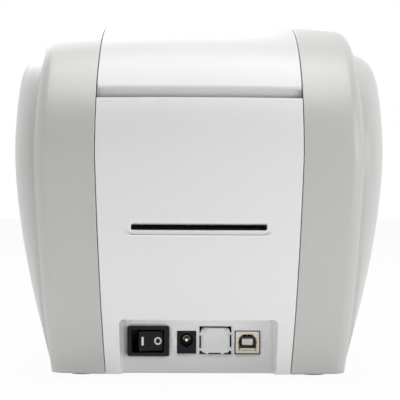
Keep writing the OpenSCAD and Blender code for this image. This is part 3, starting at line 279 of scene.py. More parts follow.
def case_skin_tree():
    """Turns each flat point's sideways place, profile angle and depth into its place on the case."""
    tree = bpy.data.node_groups.new("wrap_on_case", "GeometryNodeTree")
    given, out = inputs_of(tree, {
        "Crown place": CROWN_Y * MM, "Crown height": CROWN_Z * MM, "Base height": BASE_Z * MM,
        "Front reach": FRONT_REACH * MM, "Rear reach": REAR_REACH * MM,
        "Front bulge height": FRONT_BULGE * MM, "Rear bulge height": REAR_BULGE * MM,
        "Lower front radius": FRONT_LOW * MM, "Lower rear radius": REAR_LOW * MM,
        "Top bend": TOP_BEND / MM, "End bend": END_BEND / MM})
    size = given.outputs
    flat_at = node(tree, "ShaderNodeSeparateXYZ")
    join(tree, (node(tree, "GeometryNodeInputPosition"), flat_at.inputs[0]))
    x, u, d = flat_at.outputs

    def m(operation, *terms):
        return calc(tree, operation, *terms)

    def pick(switch, off, on):
        return m("ADD", off, m("MULTIPLY", switch, m("SUBTRACT", on, off)))

    rear = m("GREATER_THAN", u, math.pi / 2)
    rise = m("SINE", m("MINIMUM", u, m("SUBTRACT", math.pi, u)))
    bulge = pick(rear, size["Front bulge height"], size["Rear bulge height"])
    low = pick(rear, size["Lower front radius"], size["Lower rear radius"])
    radius = pick(m("GREATER_THAN", rise, 0.0), low, m("SUBTRACT", size["Crown height"], bulge))
    across = pick(rear, size["Front reach"], size["Rear reach"])
    y = m("SUBTRACT", size["Crown place"], m("MULTIPLY", across, m("COSINE", u)))
    up = m("SUBTRACT", m("ADD", bulge, m("MULTIPLY", radius, rise)), size["Base height"])
    out_to = m("SQRT", m("ADD", m("MULTIPLY", y, y), m("MULTIPLY", up, up)))
    share = m("MAXIMUM", rise, 0.0)
    curve = pick(m("MULTIPLY", share, share), size["End bend"], size["Top bend"])
    sag = m("MULTIPLY", m("MULTIPLY", curve, 0.5), m("MULTIPLY", x, x))
    keep = m("SUBTRACT", 1.0, m("DIVIDE", m("ADD", d, sag), out_to))
    place = node(tree, "ShaderNodeCombineXYZ")
    move = node(tree, "GeometryNodeSetPosition")
    weld = node(tree, "GeometryNodeMergeByDistance")
    weld.inputs["Distance"].default_value = 0.000004
    join(tree, (x, place.inputs[0]), (m("MULTIPLY", y, keep), place.inputs[1]),
         (m("ADD", size["Base height"], m("MULTIPLY", up, keep)), place.inputs[2]), (given, move.inputs["Geometry"]),
         (place, move.inputs["Position"]), (move, weld.inputs[0]))
    finish_tree(tree, given, weld.outputs[0], out)
    return tree


wrap_on_case = case_skin_tree()


def run_tree(piece, tree, finish, **sizes):
    """Adds a node tree to a piece. An input is set by its socket's identifier."""
    made = piece.modifiers.new(tree.name, "NODES")
    made.node_group = tree
    for item in tree.interface.items_tree:
        if item.in_out == "INPUT" and item.name == "Finish":
            made[item.identifier] = finish
        elif item.in_out == "INPUT" and item.name in sizes:
            made[item.identifier] = sizes[item.name]


BODY_OF = {n: b for b, members in frame["record"]["behaviour"]["bodies"].items() for n in members}
SLOT_OF = {s["node"]: s["material_slot"] for s in frame["record"]["subparts"]}


class Layout:
    """Points and faces of a piece while it is laid out, in millimetres."""

    def __init__(self):
        self.points, self.faces = [], []

    def grid(self, rows, closed=False):
        base, m = len(self.points), len(rows[0])
        for row in rows:
            self.points += [tuple(p) for p in row]
        for i in range(len(rows) - (0 if closed else 1)):
            a, b = base + i * m, base + (i + 1) % len(rows) * m
            self.faces += [(a + j, b + j, b + j + 1, a + j + 1) for j in range(m - 1)]

    def patch(self, points, faces):
        base = len(self.points)
        self.points += [tuple(p) for p in points]
        self.faces += [tuple(base + i for i in f) for f in faces]

    def turned(self, rings, centre, count=48, along="X"):
        """A turned form: rings of (place, radius) about a line along X, Y or Z. Gives the layout back."""
        rows = []
        for k in range(count):
            a = math.tau * k / count
            c, s = math.cos(a), math.sin(a)
            row = [{"X": (t, r * c, r * s), "Y": (r * s, t, r * c), "Z": (r * c, r * s, t)}[along] for t, r in rings]
            rows.append([tuple(q + o for q, o in zip(p, centre)) for p in row])
        self.grid(rows, closed=True)
        return self

    def slab(self, x, y, z):
        """A block between two places along each axis, for a beveled part."""
        c = [(a, b, e) for a in x for b in y for e in z]
        self.patch(c, [(0, 1, 3, 2), (4, 6, 7, 5), (0, 4, 5, 1), (2, 3, 7, 6), (0, 2, 6, 4), (1, 5, 7, 3)])

    def mesh(self, on_case=False):
        mesh = bpy.data.meshes.new("laid_out")
        points = self.points
        if on_case:
            angles = np.radians(np.interp([p[1] for p in points], LENGTHS, ANGLES)) / MM
            points = [(p[0], a, p[2]) for p, a in zip(points, angles)]
        mesh.from_pydata([Vector(p) * MM for p in points], [], self.faces)
        bm = bmesh.new()
        bm.from_mesh(mesh)
        bmesh.ops.remove_doubles(bm, verts=bm.verts, dist=0.000003)
        bmesh.ops.dissolve_degenerate(bm, edges=bm.edges, dist=0.0000005)
        bmesh.ops.recalc_face_normals(bm, faces=bm.faces)
        if on_case:
            up = sum(f.normal.z * f.calc_area() for f in bm.faces if all(abs(v.co.z) < 1e-7 for v in f.verts))
            if up < 0:
                bmesh.ops.reverse_faces(bm, faces=bm.faces)
        bm.to_mesh(mesh)
        bm.free()
        return mesh


def make(name, form, finish, body, slot, *replaced, on_case=False, wall=0.0, edge=0.0, angle=40, tree=None, **sizes):
    """Finishes a layout or a mesh with its node trees and modifiers, and puts the piece on its body."""
    mesh = form.mesh(on_case) if isinstance(form, Layout) else form
    mesh.polygons.foreach_set("use_smooth", [True] * len(mesh.polygons))
    if not mesh.materials:
        mesh.materials.append(finish)
    piece = bpy.data.objects.new(name, mesh)
    scene.collection.objects.link(piece)
    if on_case:
        run_tree(piece, wrap_on_case, finish)
    if tree:
        run_tree(piece, tree, finish, **sizes)
    if wall:
        solid = piece.modifiers.new("wall", "SOLIDIFY")
        solid.thickness, solid.offset, solid.use_even_offset = wall * MM, -1, False
    if edge:
        bevel = piece.modifiers.new("edge", "BEVEL")
        bevel.width, bevel.segments, bevel.angle_limit = edge * MM, 2, math.radians(angle)
        bevel.limit_method = "ANGLE"
        bevel.use_clamp_overlap = True
    piece.modifiers.new("shade", "WEIGHTED_NORMAL").keep_sharp = True
    done = bpy.data.meshes.new_from_object(piece.evaluated_get(bpy.context.evaluated_depsgraph_get()))
    piece.modifiers.clear()
    piece.data = done
    done.name = name
    if replaced:
        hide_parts(*replaced)
    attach(piece, body)


def shader_of(name, **settings):
    """A new material with its tree, its shader set as named, and the object's own coordinates."""
    material = bpy.data.materials.new(name)
    material.use_nodes = True
    tree = material.node_tree
    shader = tree.nodes["Principled BSDF"]
    for key, value in settings.items():
        shader.inputs[key.replace("_", " ")].default_value = value
    return material, tree, shader, node(tree, "ShaderNodeTexCoord").outputs["Object"]


def noise(tree, coords, scale, detail=3.0, stretch=None):
    made = node(tree, "ShaderNodeTexNoise")
    made.inputs["Scale"].default_value = scale
    made.inputs["Detail"].default_value = detail
    if stretch:
        turn = node(tree, "ShaderNodeMapping")
        turn.inputs["Scale"].default_value = stretch
        join(tree, (coords, turn.inputs[0]))
        coords = turn.outputs[0]
    join(tree, (coords, made.inputs["Vector"]))
    return made.outputs["Fac"]


def spread(tree, value, low, high, start=0.3, end=0.7):
    made = node(tree, "ShaderNodeMapRange")
    for socket, number in zip(made.inputs[1:5], (start, end, low, high)):
        socket.default_value = number
    join(tree, (value, made.inputs[0]))
    return made.outputs[0]


def bumped(tree, shader, height, depth, strength=1.0):
    bump = node(tree, "ShaderNodeBump")
    bump.inputs["Strength"].default_value = strength
    bump.inputs["Distance"].default_value = depth * MM
    join(tree, (height, bump.inputs["Height"]), (bump, shader.inputs["Normal"]))


def tinted(tree, shader, colour, *shares):
    """Base colour times the sum of the given shares."""
    total = shares[0]
    for more in shares[1:]:
        total = calc(tree, "ADD", total, more)
    paint = node(tree, "ShaderNodeVectorMath", operation="SCALE")
    paint.inputs[0].default_value = colour
    join(tree, (total, paint.inputs["Scale"]), (paint, shader.inputs["Base Color"]))


# Flow marks stay gentle: their ramp is wide enough for the noise never to be cut off into patches.
FLOW_SCALE, FLOW_STRETCH, FLOW_RAMP = 22, (1, 1, 0.35), (0.1, 0.9)
RUBBED_RAMP = (0.53, 0.60)


def moulded(name, colour, rough, grain=0.03, size=1800, speckle=0.012, wear=0.05, coat=0.0, ior=1.5,
            coat_rough=0.12):
    """Moulded plastic: eroded grain from the tool, faint flow marks in tone and gloss, and paler rubbed edges."""
    material, tree, shader, at = shader_of(name, IOR=ior, Coat_Weight=coat, Coat_Roughness=coat_rough)
    flow = noise(tree, at, FLOW_SCALE, 4, FLOW_STRETCH)
    fine = noise(tree, at, size, 2)
    bumped(tree, shader, fine, grain, 0.5)
    rub = node(tree, "ShaderNodeNewGeometry").outputs["Pointiness"]
    tinted(tree, shader, colour, spread(tree, flow, 1 - speckle, 1 + speckle, *FLOW_RAMP),
           spread(tree, fine, -speckle / 2, speckle / 2), spread(tree, rub, 0.0, wear, *RUBBED_RAMP))
    join(tree, (spread(tree, flow, rough - 0.04, rough + 0.05, *FLOW_RAMP), shader.inputs["Roughness"]))
    return material


# Side shells. Two grey ABS mouldings: a rim that follows the case's profile, a stepped-in ledge, and a cheek
# that bulges out of it. They clip to the base tray, and an inner flange stiffens their edge at the middle.
grey_abs = moulded("grey_abs", (0.53, 0.526, 0.511), 0.42, grain=0.035, size=2200, speckle=0.015, coat=0.8,
                   coat_rough=0.35)
RIM_ROUND, EDGE_R, FILLET = 6.0, 0.35, 2.6
CHEEK_HALF, CHEEK_TOP_Z, CHEEK_NARROWING, CHEEK_POWER = 96.2, REAR_BULGE + 8, 18.5, 1.65
CHEEK_TAPER, CHEEK_MIDDLE_Y = 5 / 150 ** 2, 20
LEDGE, LEDGE_AT_CROWN, RISE, RISE_AT_CROWN = 9, 12, 36, 12


def arc(a0, a1, count):
    return np.radians(np.linspace(a0, a1, count))


def cheek_x(y, z):
    low = max(0.0, CHEEK_TOP_Z - z) / (CHEEK_TOP_Z - BASE_Z)
    return CHEEK_HALF - CHEEK_NARROWING * low ** CHEEK_POWER - CHEEK_TAPER * (y - CHEEK_MIDDLE_Y) ** 2


def shell_row(u):
    """One section, from the inner flange over the rim and ledge and up the cheek to the middle of the base."""
    z = profile(u)[1]
    s, inner, outer = length_at(u), centre_half(z) - 0.1, rim_half(z)
    share = crown_share(u) ** 2
    ledge, rise = LEDGE + (LEDGE_AT_CROWN - LEDGE) * share, RISE + (RISE_AT_CROWN - RISE) * share
    row = [(inner, s, SKIRT * k) for k in (1, 0.7, 0.4)]
    row += [(inner + EDGE_R * (1 - math.cos(a)), s, EDGE_R * (1 - math.sin(a))) for a in arc(0, 90, 4)]
    row += [(inner + EDGE_R + (outer - RIM_ROUND - inner - EDGE_R) * k / 8, s, 0.0) for k in range(1, 9)]
    row += [(outer - RIM_ROUND * (1 - math.sin(a)), s, RIM_ROUND * (1 - math.cos(a)))
            for a in np.radians(range(12, 91, 13))]

    def side(d, share=None, out=None):
        p = skin(outer, u, d)
        base = rim_half(p.z)
        x = base + out if out is not None else base + (cheek_x(p.y, p.z) - base) * share
        return x, s, d + bend(u) * (outer ** 2 - x ** 2) / 2

    p = skin(outer, u, ledge)
    width = cheek_x(p.y, p.z) - rim_half(p.z)
    fillet = min(FILLET, width * 0.6)
    first = math.asin(fillet / width)
    deeper = fillet + rise * (1 - math.cos(first))
    row.append(side((RIM_ROUND + ledge - fillet) / 2, 0))
    row += [side(ledge - fillet + deeper * math.sin(c), out=fillet * (1 - math.cos(c))) for c in arc(0, 90, 6)]
    for k in range(1, 19):
        a = first + (math.pi / 2 - first) * k / 18
        row.append(side(ledge + rise * (1 - math.cos(a)), math.sin(a)))
    last, whole = ledge + rise, reach(u)
    row += [side(last + (whole * 0.96 - last) * k / 12, 1) for k in range(1, 13)]
    hub = cheek_x(0, BASE_Z)
    row.append((hub, s, whole - bend(u) * hub ** 2 / 2))
    return row


shell_rows = [shell_row(u) for u in np.linspace(LOW_FRONT_U, LOW_REAR_U, 171)]
for side, sign in (("right", 1), ("left", -1)):
    shell = Layout()
    shell.grid([[(sign * x, s, d) for x, s, d in row] for row in shell_rows])
    make(side + "_shell_moulding", shell, grey_abs, "base", "grey_plastic", side + "_side_shell",
         on_case=True, wall=WALL)

# Rear panel. One white ABS moulding with the card slot, an open-bottomed recess for the connectors, and a
# trough round the hinge that the cover's rear edge swings through. Screws hold it from inside.
white_abs = moulded("white_abs", (0.84, 0.84, 0.838), 0.3, grain=0.006, size=700, speckle=0.006, wear=0.03)


def inside(p, loop):
    hit = False
    for (x1, y1), (x2, y2) in zip(loop, loop[1:] + loop[:1]):
        if (y1 > p[1]) != (y2 > p[1]) and p[0] < (x2 - x1) * (p[1] - y1) / (y2 - y1) + x1:
            hit = not hit
    return hit


def filled(outline, holes, pitch):
    """Triangles over an outline with holes, on a lattice fine enough for the surface to curve."""
    points, edges = [], []
    for loop in [outline] + holes:
        base = len(points)
        points += [tuple(p) for p in loop]
        edges += [(base + i, base + (i + 1) % len(loop)) for i in range(len(loop))]
    rim = np.array(points)
    low, high = np.array(outline).min(0), np.array(outline).max(0)
    for i, y in enumerate(np.arange(low[1] + pitch / 2, high[1], pitch)):
        for x in np.arange(low[0] + pitch * (0.5 if i % 2 else 1), high[0], pitch):
            if np.min(np.hypot(rim[:, 0] - x, rim[:, 1] - y)) > pitch * 0.5 and inside((x, y), outline) \
                    and not any(inside((x, y), h) for h in holes):
                points.append((float(x), float(y)))
    verts, _, tris, *_ = delaunay_2d_cdt([Vector(p) for p in points], edges, [], 0, 1e-5)
    verts = [tuple(v) for v in verts]
    kept = []
    for t in tris:
        c = tuple(sum(verts[i][k] for i in t) / 3 for k in (0, 1))
        if inside(c, outline) and not any(inside(c, h) for h in holes):
            kept.append(tuple(t))
    return verts, kept


def fill(layout, outline, holes, pitch, place=lambda x, s: (x, s, 0.0)):
    """Adds a filled outline to a layout, each point put in its place."""
    points, faces = filled(outline, holes, pitch)
    layout.patch([place(*p) for p in points], faces)


def off_edge(loop):
    """Mitred unit vectors off the material, which lies on the left of the loop's direction."""
    p = np.array(loop, float)
    way = np.roll(p, -1, 0) - p
    way /= np.linalg.norm(way, axis=1)[:, None]
    after = np.stack((way[:, 1], -way[:, 0]), 1)
    before = np.roll(after, 1, 0)
    return (after + before) / (1 + (after * before).sum(1))[:, None]


def straight_in(depth):
    """An edge that goes straight in to a depth, given as a number or a rule of the place."""
    def path(x, s):
        far = depth(x, s) if callable(depth) else depth
        return [(x, s, EDGE_R + (far - EDGE_R) * share) for share in (0.5, 1)]
    return path


def add_edge(layout, loop, radius, runs, steps=4):
    """Rolls the edge of a panel over and leads it on along each run's own path. Gives the loop's start."""
    off = off_edge(loop)
    n = len(loop)
    radius = np.full(n, radius) if np.isscalar(radius) else np.array(radius)
    start = np.array(loop) - off * radius[:, None]
    for first, last, path in runs:
        rows = []
        for i in range(first, last + 1):
            o, p, r = off[i % n], start[i % n], radius[i % n]
            row = [(p[0] + o[0] * r * math.sin(a), p[1] + o[1] * r * math.sin(a), r * (1 - math.cos(a)))
                   for a in arc(0, 90, steps + 1)]
            rows.append(row + path(*loop[i % n]))
        layout.grid(rows)
    return [tuple(p) for p in start]


def ring(loop):
    """The one run of a closed loop."""
    return lambda path: [(0, len(loop), path)]


def line(a, b, step):
    n = max(1, round(math.dist(a, b) / step))
    return [(a[0] + (b[0] - a[0]) * i / n, a[1] + (b[1] - a[1]) * i / n) for i in range(n)]


def rounded(x0, x1, y0, y1, r, step=2.5, turns=6, clockwise=True):
    """A rounded rectangle. It runs clockwise round a hole, and the other way round a piece."""
    corners = []
    for cx, cy, a0 in ((x1 - r, y0 + r, -90), (x1 - r, y1 - r, 0), (x0 + r, y1 - r, 90), (x0 + r, y0 + r, 180)):
        corners.append([(cx + r * math.cos(a), cy + r * math.sin(a)) for a in arc(a0, a0 + 90, turns)])
    loop = []
    for k, corner in enumerate(corners):
        loop += corner[:-1] + line(corner[-1], corners[(k + 1) % 4][0], step)
    return loop[::-1] if clockwise else loop


def angle_of(s):
    return float(np.interp(s, LENGTHS, ANGLES))


PANEL_TOP, HINGE = 140.3, (143.0126, 142.0)
CONN_Y, RECESS_TOP, PLATE_HALF, DRAFT, RECESS_R = 128.0, 32.1, 37.65, 1.4, 2.5
MOUTH_HALF = PLATE_HALF + DRAFT
SLOT_Z, SLOT_W, SLOT_H = 78.2, 65.3, 3.6
TROUGH_R, TROUGH_BOW, TROUGH_FROM, TROUGH_TO = math.hypot(15.8, 3.2) + 0.9, 3.1, -13, -83

top_half = panel_half(PANEL_TOP)
top_edge = [on_face(x, PANEL_TOP, True) for x in np.linspace(-top_half, top_half, 42)]
low_s = length_at(angle_at(BASE_Z, True))
right = [(panel_half(profile(angle_of(s))[1]), s) for s in np.linspace(top_edge[-1][1], low_s, 60)]
mouth_right = [(MOUTH_HALF, z) for z in np.linspace(BASE_Z, RECESS_TOP - RECESS_R, 12)[:-1]]
mouth_right += [(MOUTH_HALF - RECESS_R * (1 - math.cos(a)), RECESS_TOP - RECESS_R * (1 - math.sin(a)))
                for a in arc(0, 90, 8)]
mouth = mouth_right + [(x, RECESS_TOP) for x in np.linspace(MOUTH_HALF - RECESS_R, RECESS_R - MOUTH_HALF, 30)[1:-1]] \
    + [(-x, z) for x, z in reversed(mouth_right)]
leg = line(right[-1], (MOUTH_HALF, low_s), 2.5)[1:]
outline = right + leg + [on_face(x, z, True) for x, z in mouth] + [(-x, s) for x, s in reversed(leg)] \
    + [(-x, s) for x, s in reversed(right)] + top_edge[1:-1]
n_side, n_leg, n_mouth = len(right), len(leg), len(mouth)


def side_flange(x, s):
    z = profile(angle_of(s))[1]
    return WALL + (SKIRT - WALL) * max(0.0, min(1.0, (HINGE[1] - 22.1 - z) / 10))


def recess_wall(x, s):
    """From the rolled mouth straight in to the connector plate."""
    u = angle_of(s)
    start = skin(x, u, EDGE_R)
    end = Vector((x * PLATE_HALF / MOUTH_HALF, CONN_Y, min(max(skin(x, u).z, BASE_Z), RECESS_TOP)))
    return [flat(start.lerp(end, k / 6)) for k in range(1, 7)]


def trough(x, s):
    """Over the panel's top edge, and down round the hinge."""
    outward = (x / 50) ** 2
    r = TROUGH_R - TROUGH_BOW * outward
    return [flat((x, HINGE[0] + r * math.cos(a), HINGE[1] + r * math.sin(a)))
            for a in arc(TROUGH_FROM - 6 * outward, TROUGH_TO, 12)]


rear = Layout()
a, b = n_side - 1, n_side + n_leg
c = b + n_mouth - 1
start = add_edge(rear, outline, EDGE_R, [
    (0, a, straight_in(side_flange)), (a, b, straight_in(WALL)), (b, c, recess_wall),
    (c, c + n_leg + 1, straight_in(WALL)), (c + n_leg + 1, c + n_leg + n_side, straight_in(side_flange)),
    (c + n_leg + n_side, len(outline), trough)])
slot = [on_face(x, z, True) for x, z in
        rounded(-SLOT_W / 2, SLOT_W / 2, SLOT_Z - SLOT_H / 2, SLOT_Z + SLOT_H / 2, 0.9, 1.8, 5, False)]
slot_start = add_edge(rear, slot, 0.5, ring(slot)(lambda x, s: [(x, s, 1.5), (x, s, 3.2)]))
fill(rear, start, [slot_start], 2.7)

# The blank is held by thin bridges between six slits. The slits are square outside and rounded towards it.
SWITCH, JACK, BLANK, USB = (25.2, 19.2), (5.9, 18.6), (-8.7, 19.6), (-25.0, 18.6)
FITTING_HALVES = (9.65, 6.75), (4.85, 5.8), (6.55, 6.05)
SLIT_OUT, SLIT_IN, BLANK_R = (8.1, 7.1), (7.3, 6.3), 1.7
bow = [(SLIT_IN[0] - BLANK_R * (1 - math.cos(t)), SLIT_IN[1] - BLANK_R * (1 - math.sin(t))) for t in arc(0, 90, 7)]
ox, oz, ix, iz = *SLIT_OUT, *SLIT_IN


def corner_slit(side, leg_z, leg_x):
    """A slit round a lower corner of the blank, ending at its two legs."""
    loop = [(ox, leg_z), (ox, oz), (leg_x, oz), (leg_x, iz)] + bow[::-1] + [(ix, leg_z)]
    return [(side * x, -z) for x, z in loop]


top_slit = [(ox, 4.0), (ox, oz), (-ox, oz), (-ox, 4.0), (-ix, 4.0)] + [(-x, z) for x, z in bow[1:]] \
    + bow[::-1][:-1] + [(ix, 4.0)]
holes = [[(BLANK[0] + x, BLANK[1] + z) for x, z in slit] for slit in (
    [(ox, 2.4), (ox, -4.0), (ix, -4.0), (ix, 2.4)], [(-ox, -3.4), (-ox, 2.9), (-ix, 2.9), (-ix, -3.4)],
    [(3.5, -oz), (-2.8, -oz), (-2.8, -iz), (3.5, -iz)], corner_slit(1, 5.3, 4.9), corner_slit(-1, 5.3, 4.3), top_slit)]
for loop in holes:
    if sum(a[0] * b[1] - b[0] * a[1] for a, b in zip(loop, loop[1:] + loop[:1])) > 0:
        loop.reverse()
for (x, z), (hw, hh) in zip((SWITCH, JACK, USB), FITTING_HALVES):
    holes.append(rounded(x - hw, x + hw, z - hh, z + hh, 0.35, 3, 4))
back = [(x, min(max(skin(x, angle_of(s), d).z, BASE_Z), RECESS_TOP))
        for x, s, d in (recess_wall(*p)[-1] for p in outline[b:c + 1])]
fill(rear, back + line(back[-1], back[0], 3)[1:], holes, 3, lambda x, z: flat((x, CONN_Y, z)))
make("rear_panel_moulding", rear, white_abs, "base", "white_plastic", "rear_panel", on_case=True, wall=WALL)
# A black sheet behind the blank is painted shade: it keeps the slits dark, as the shade inside the case would.
painted_shade_black = moulded("painted_shade_black", (0.008, 0.008, 0.009), 0.6, grain=0.01, size=900, ior=1.2)
shade_sheet, plate_back, shade_sheet_x = Layout(), CONN_Y - WALL, (BLANK[0] - 8.4, BLANK[0] + 8.4)
shade_sheet.slab(shade_sheet_x, (plate_back - 0.35, plate_back - 0.1), (BLANK[1] - 6.2, BLANK[1] + 8.2))
shade_sheet.slab(shade_sheet_x, (plate_back - 0.1, plate_back + 1.9), (BLANK[1] - 8.0, BLANK[1] - 7.6))
make("dust_foil", shade_sheet, painted_shade_black, "base", "black_plastic", edge=0.08)

# Top cover. A white ABS moulding that swings up on two hinge pins at the rear. Its rear edge turns in to a
# band that stands over the rear panel, and a flange stiffens its other sides.
COVER_FRONT_U, COVER_REAR_U = 56.3, 155.06
BAND_DEEP, BAND_R, LEAN, LEAN_RUN, ROLL_RUN = 5.0, 1.5, -0.53, 20, 5
cover_half, cover_end = panel_half(PANEL_TOP), profile(COVER_REAR_U)[1]
s_front, s_rear = length_at(COVER_FRONT_U), on_face(cover_half, cover_end, True)[1]
n_long, n_wide = 120, 42
cover_loop = [(cover_half, s) for s in np.linspace(s_front, s_rear, n_long)[:-1]] \
    + [on_face(x, cover_end, True) for x in np.linspace(cover_half, -cover_half, n_wide)[:-1]] \
    + [(-cover_half, s) for s in np.linspace(s_rear, s_front, n_long)[:-1]] \
    + [(x, s_front) for x in np.linspace(-cover_half, cover_half, n_wide)[:-1]]


def short_of_end(x, s):
    """How far a place is from the cover's rear edge, which is level."""
    return max(0.0, on_face(x, cover_end, True)[1] - s)


def lean_at(x, s, d):
    """The band stands steeper than the case's ribs, and the side flanges meet it."""
    return x, s - LEAN * d * max(0.0, 1 - short_of_end(x, s) / LEAN_RUN), d


def roll_at(x, s):
    """The cover's edge is crisp at the sides and softer along the band."""
    return EDGE_R + (BAND_R - EDGE_R) * max(0.0, 1 - short_of_end(x, s) / ROLL_RUN) ** 2


def side_path(x, s):
    deep = BAND_DEEP + (SKIRT - BAND_DEEP) * min(1.0, short_of_end(x, s) / LEAN_RUN)
    first = roll_at(x, s)
    return [lean_at(x, s, first + (deep - first) * k / 3) for k in (1, 2, 3)]


cover = Layout()
ends = [0, n_long - 1, n_long + n_wide - 2, 2 * n_long + n_wide - 3, len(cover_loop)]
start = add_edge(cover, cover_loop, [roll_at(x, s) for x, s in cover_loop],
                 [(a, b, side_path) for a, b in zip(ends, ends[1:])], 6)
fill(cover, start, [], 3)
make("top_cover_moulding", cover, white_abs, "cover", "white_plastic", "top_cover", on_case=True, wall=WALL)

# Rocker switch. A black nylon snap-in switch: a bezel over the hole in the connector plate, a deep well, and a
# rocker that stands tilted, with its "O" end pressed in. The marks are moulded in white.
switch_nylon = moulded("switch_nylon", (0.010, 0.010, 0.013), 0.33, 0.02, 3000, 0.02, 0.004, ior=1.27)
mark_white = moulded("mark_white", (0.86, 0.86, 0.86), 0.5, 0.01, 3000)
BEZEL_W, BEZEL_H, BEZEL_OUT, WELL_W, WELL_H, WELL_SHIFT = 21.0, 15.2, 1.6, 16.3, 11.4, 0.25
PADDLE_HALF, PADDLE_H, PADDLE_SHIFT, PADDLE_TOP, DISH, TILT, AXIS_Y = 6.15, 10.2, -0.5, 5.2, 0.8, 10.0, 124.0


def prism(layout, rings, cap_first=True, cap_last=True):
    """Joins closed loops of points one after another, with the ends filled by a fan where they are closed."""
    n = len(rings[0])
    base = len(layout.points)
    for loop in rings:
        layout.points += [tuple(p) for p in loop]
    for i in range(len(rings) - 1):
        for j in range(n):
            k = (j + 1) % n
            layout.faces.append((base + i * n + j, base + i * n + k, base + (i + 1) * n + k, base + (i + 1) * n + j))
    if cap_first:
        layout.faces.append(tuple(base + j for j in range(n)))
    if cap_last:
        layout.faces.append(tuple(base + (len(rings) - 1) * n + j for j in range(n))[::-1])


def at_y(loop, y):
    return [(x, y, z) for x, z in loop]


def box_loop(centre, w, h, y, r):
    """A rounded rectangle in the plane at y."""
    x, z = centre
    return at_y(rounded(x - w / 2, x + w / 2, z - h / 2, z + h / 2, r, 50, 5, False), y)


def eased_loops(centre, w, h, r, steps):
    """Rounded rectangles at the given places along Y, each smaller by its inset."""
    return [box_loop(centre, w - 2 * inset, h - 2 * inset, y, max(r - inset, 0.12)) for y, inset in steps]


face_y = CONN_Y + BEZEL_OUT
housing = Layout()
prism(housing, eased_loops(SWITCH, BEZEL_W, BEZEL_H, 0.6, [
    (CONN_Y, 0.15), (CONN_Y + 0.05, 0.02), (CONN_Y + BEZEL_OUT * 0.45, 0.0), (face_y - 0.2, 0.05),
    (face_y - 0.06, 0.12), (face_y, 0.3), (face_y, 1.5)])
    + eased_loops((SWITCH[0] + WELL_SHIFT, SWITCH[1]), WELL_W, WELL_H, 0.7, [
        (face_y, -0.32), (face_y - 0.12, -0.08), (face_y - 0.4, 0), (CONN_Y - 10, 0)]), False)
prism(housing, eased_loops(SWITCH, BEZEL_W - 2, BEZEL_H - 2, 0.6,
                           [(CONN_Y - 14, 0.6), (CONN_Y - 13.6, 0), (CONN_Y, 0)]),
      True, False)
make("switch_bezel", housing, switch_nylon, "base", "switch_black", "switch_housing")

half, tall = PADDLE_HALF, PADDLE_H / 2
turn = (Matrix.Translation((SWITCH[0], AXIS_Y, 0)) @ Matrix.Rotation(math.radians(TILT), 4, "Z")
        @ Matrix.Translation((PADDLE_SHIFT, 0, 0)))


def dished(x):
    return PADDLE_TOP - DISH * (1 - abs(x / PADDLE_HALF) ** 1.6)


crown = [(half * k, dished(half * k)) for k in np.linspace(1, -1, 21)[1:-1]]
section = [(-half + 0.15, -1.0), (-half * 0.5, -3.5), (half * 0.5, -3.5), (half - 0.15, -1.0), (half, -0.5),
           (half, 4.85), (half - 0.3, 5.14)] + crown + [(-half + 0.3, 5.14), (-half, 4.85), (-half, -0.5)]
rocker = Layout()
prism(rocker, [[turn @ Vector((x * (1 - 0.02 * e), y - 0.25 * e, SWITCH[1] + z)) for x, y in section]
               for z, e in ((-tall, 1), (-tall + 0.25, 0), (0, 0), (tall - 0.25, 0), (tall, 1))])
rocker.turned([(-tall - 1.2, 0), (-tall - 1.2, 0.8), (-tall - 1.0, 1), (tall + 1.0, 1), (tall + 1.2, 0.8),
               (tall + 1.2, 0)], (SWITCH[0], AXIS_Y, SWITCH[1]), 20, "Z")
make("rocker_paddle", rocker, switch_nylon, "rocker", "switch_black", "power_rocker", edge=0.12)

# The stroke lies near the raised end, and the ring near the pressed one.
STROKE_X, RING_X, SUNK, PROUD = 4.3, -3.55, -0.3, 0.035


def on_paddle(x, z, up):
    """A point on the rocker's dished face."""
    return turn @ Vector((x, dished(x) + up, SWITCH[1] + z))


def around(count):
    return np.linspace(0, math.tau, count, endpoint=False)


marks = Layout()
stroke = [(STROKE_X + px, pz) for px, pz in rounded(-0.55, 0.55, -2.15, 2.15, 0.25, 0.6, 3, False)]
prism(marks, [[on_paddle(x, z, up) for x, z in stroke] for up in (SUNK, PROUD)])
prism(marks, [[on_paddle(RING_X + r * math.cos(t) * 0.95, r * math.sin(t), up) for t in around(40)]
              for r, up in ((2.0, SUNK), (2.0, PROUD), (1.15, PROUD), (1.15, SUNK))], False, False)
make("rocker_marks", marks, mark_white, "rocker", "switch_black")

# Power jack. A black moulded barrel jack behind the plate, with a bright centre pin and a sprung brass
# contact that shows over it inside the bore.
jack_black = moulded("jack_black", (0.011, 0.011, 0.014), 0.36, 0.02, 2600, 0.02, 0.004, ior=1.27)
BORE_R, BORE_Z, JACK_FACE_Y = 3.3, 19.7, CONN_Y - 0.2


def metal(name, colour, rough, stretch=(1, 1, 1), scale=900, depth=0.01, stain=0.06):
    """Metal with fine working marks, a little uneven in tone and gloss."""
    material, tree, shader, at = shader_of(name, Metallic=1.0)
    marks = noise(tree, at, scale, 3, stretch)
    cloud = noise(tree, at, 40, 3)
    bumped(tree, shader, marks, depth, 0.4)
    tinted(tree, shader, colour, spread(tree, cloud, 1 - stain, 1), spread(tree, marks, -0.02, 0.02))
    uneven = calc(tree, "ADD", spread(tree, cloud, rough - 0.04, rough + 0.06), spread(tree, marks, -0.03, 0.03))
    join(tree, (uneven, shader.inputs["Roughness"]))
    return material


nickel = metal("nickel_plate", (0.80, 0.79, 0.76), 0.2)
brass = metal("contact_brass", (0.66, 0.56, 0.38), 0.24)
cx, cz, y = JACK[0], BORE_Z, JACK_FACE_Y


def grown(loop, k):
    """A loop scaled about the middle of the bore."""
    return [(cx + (x - cx) * k, cz + (z - cz) * k) for x, z in loop]


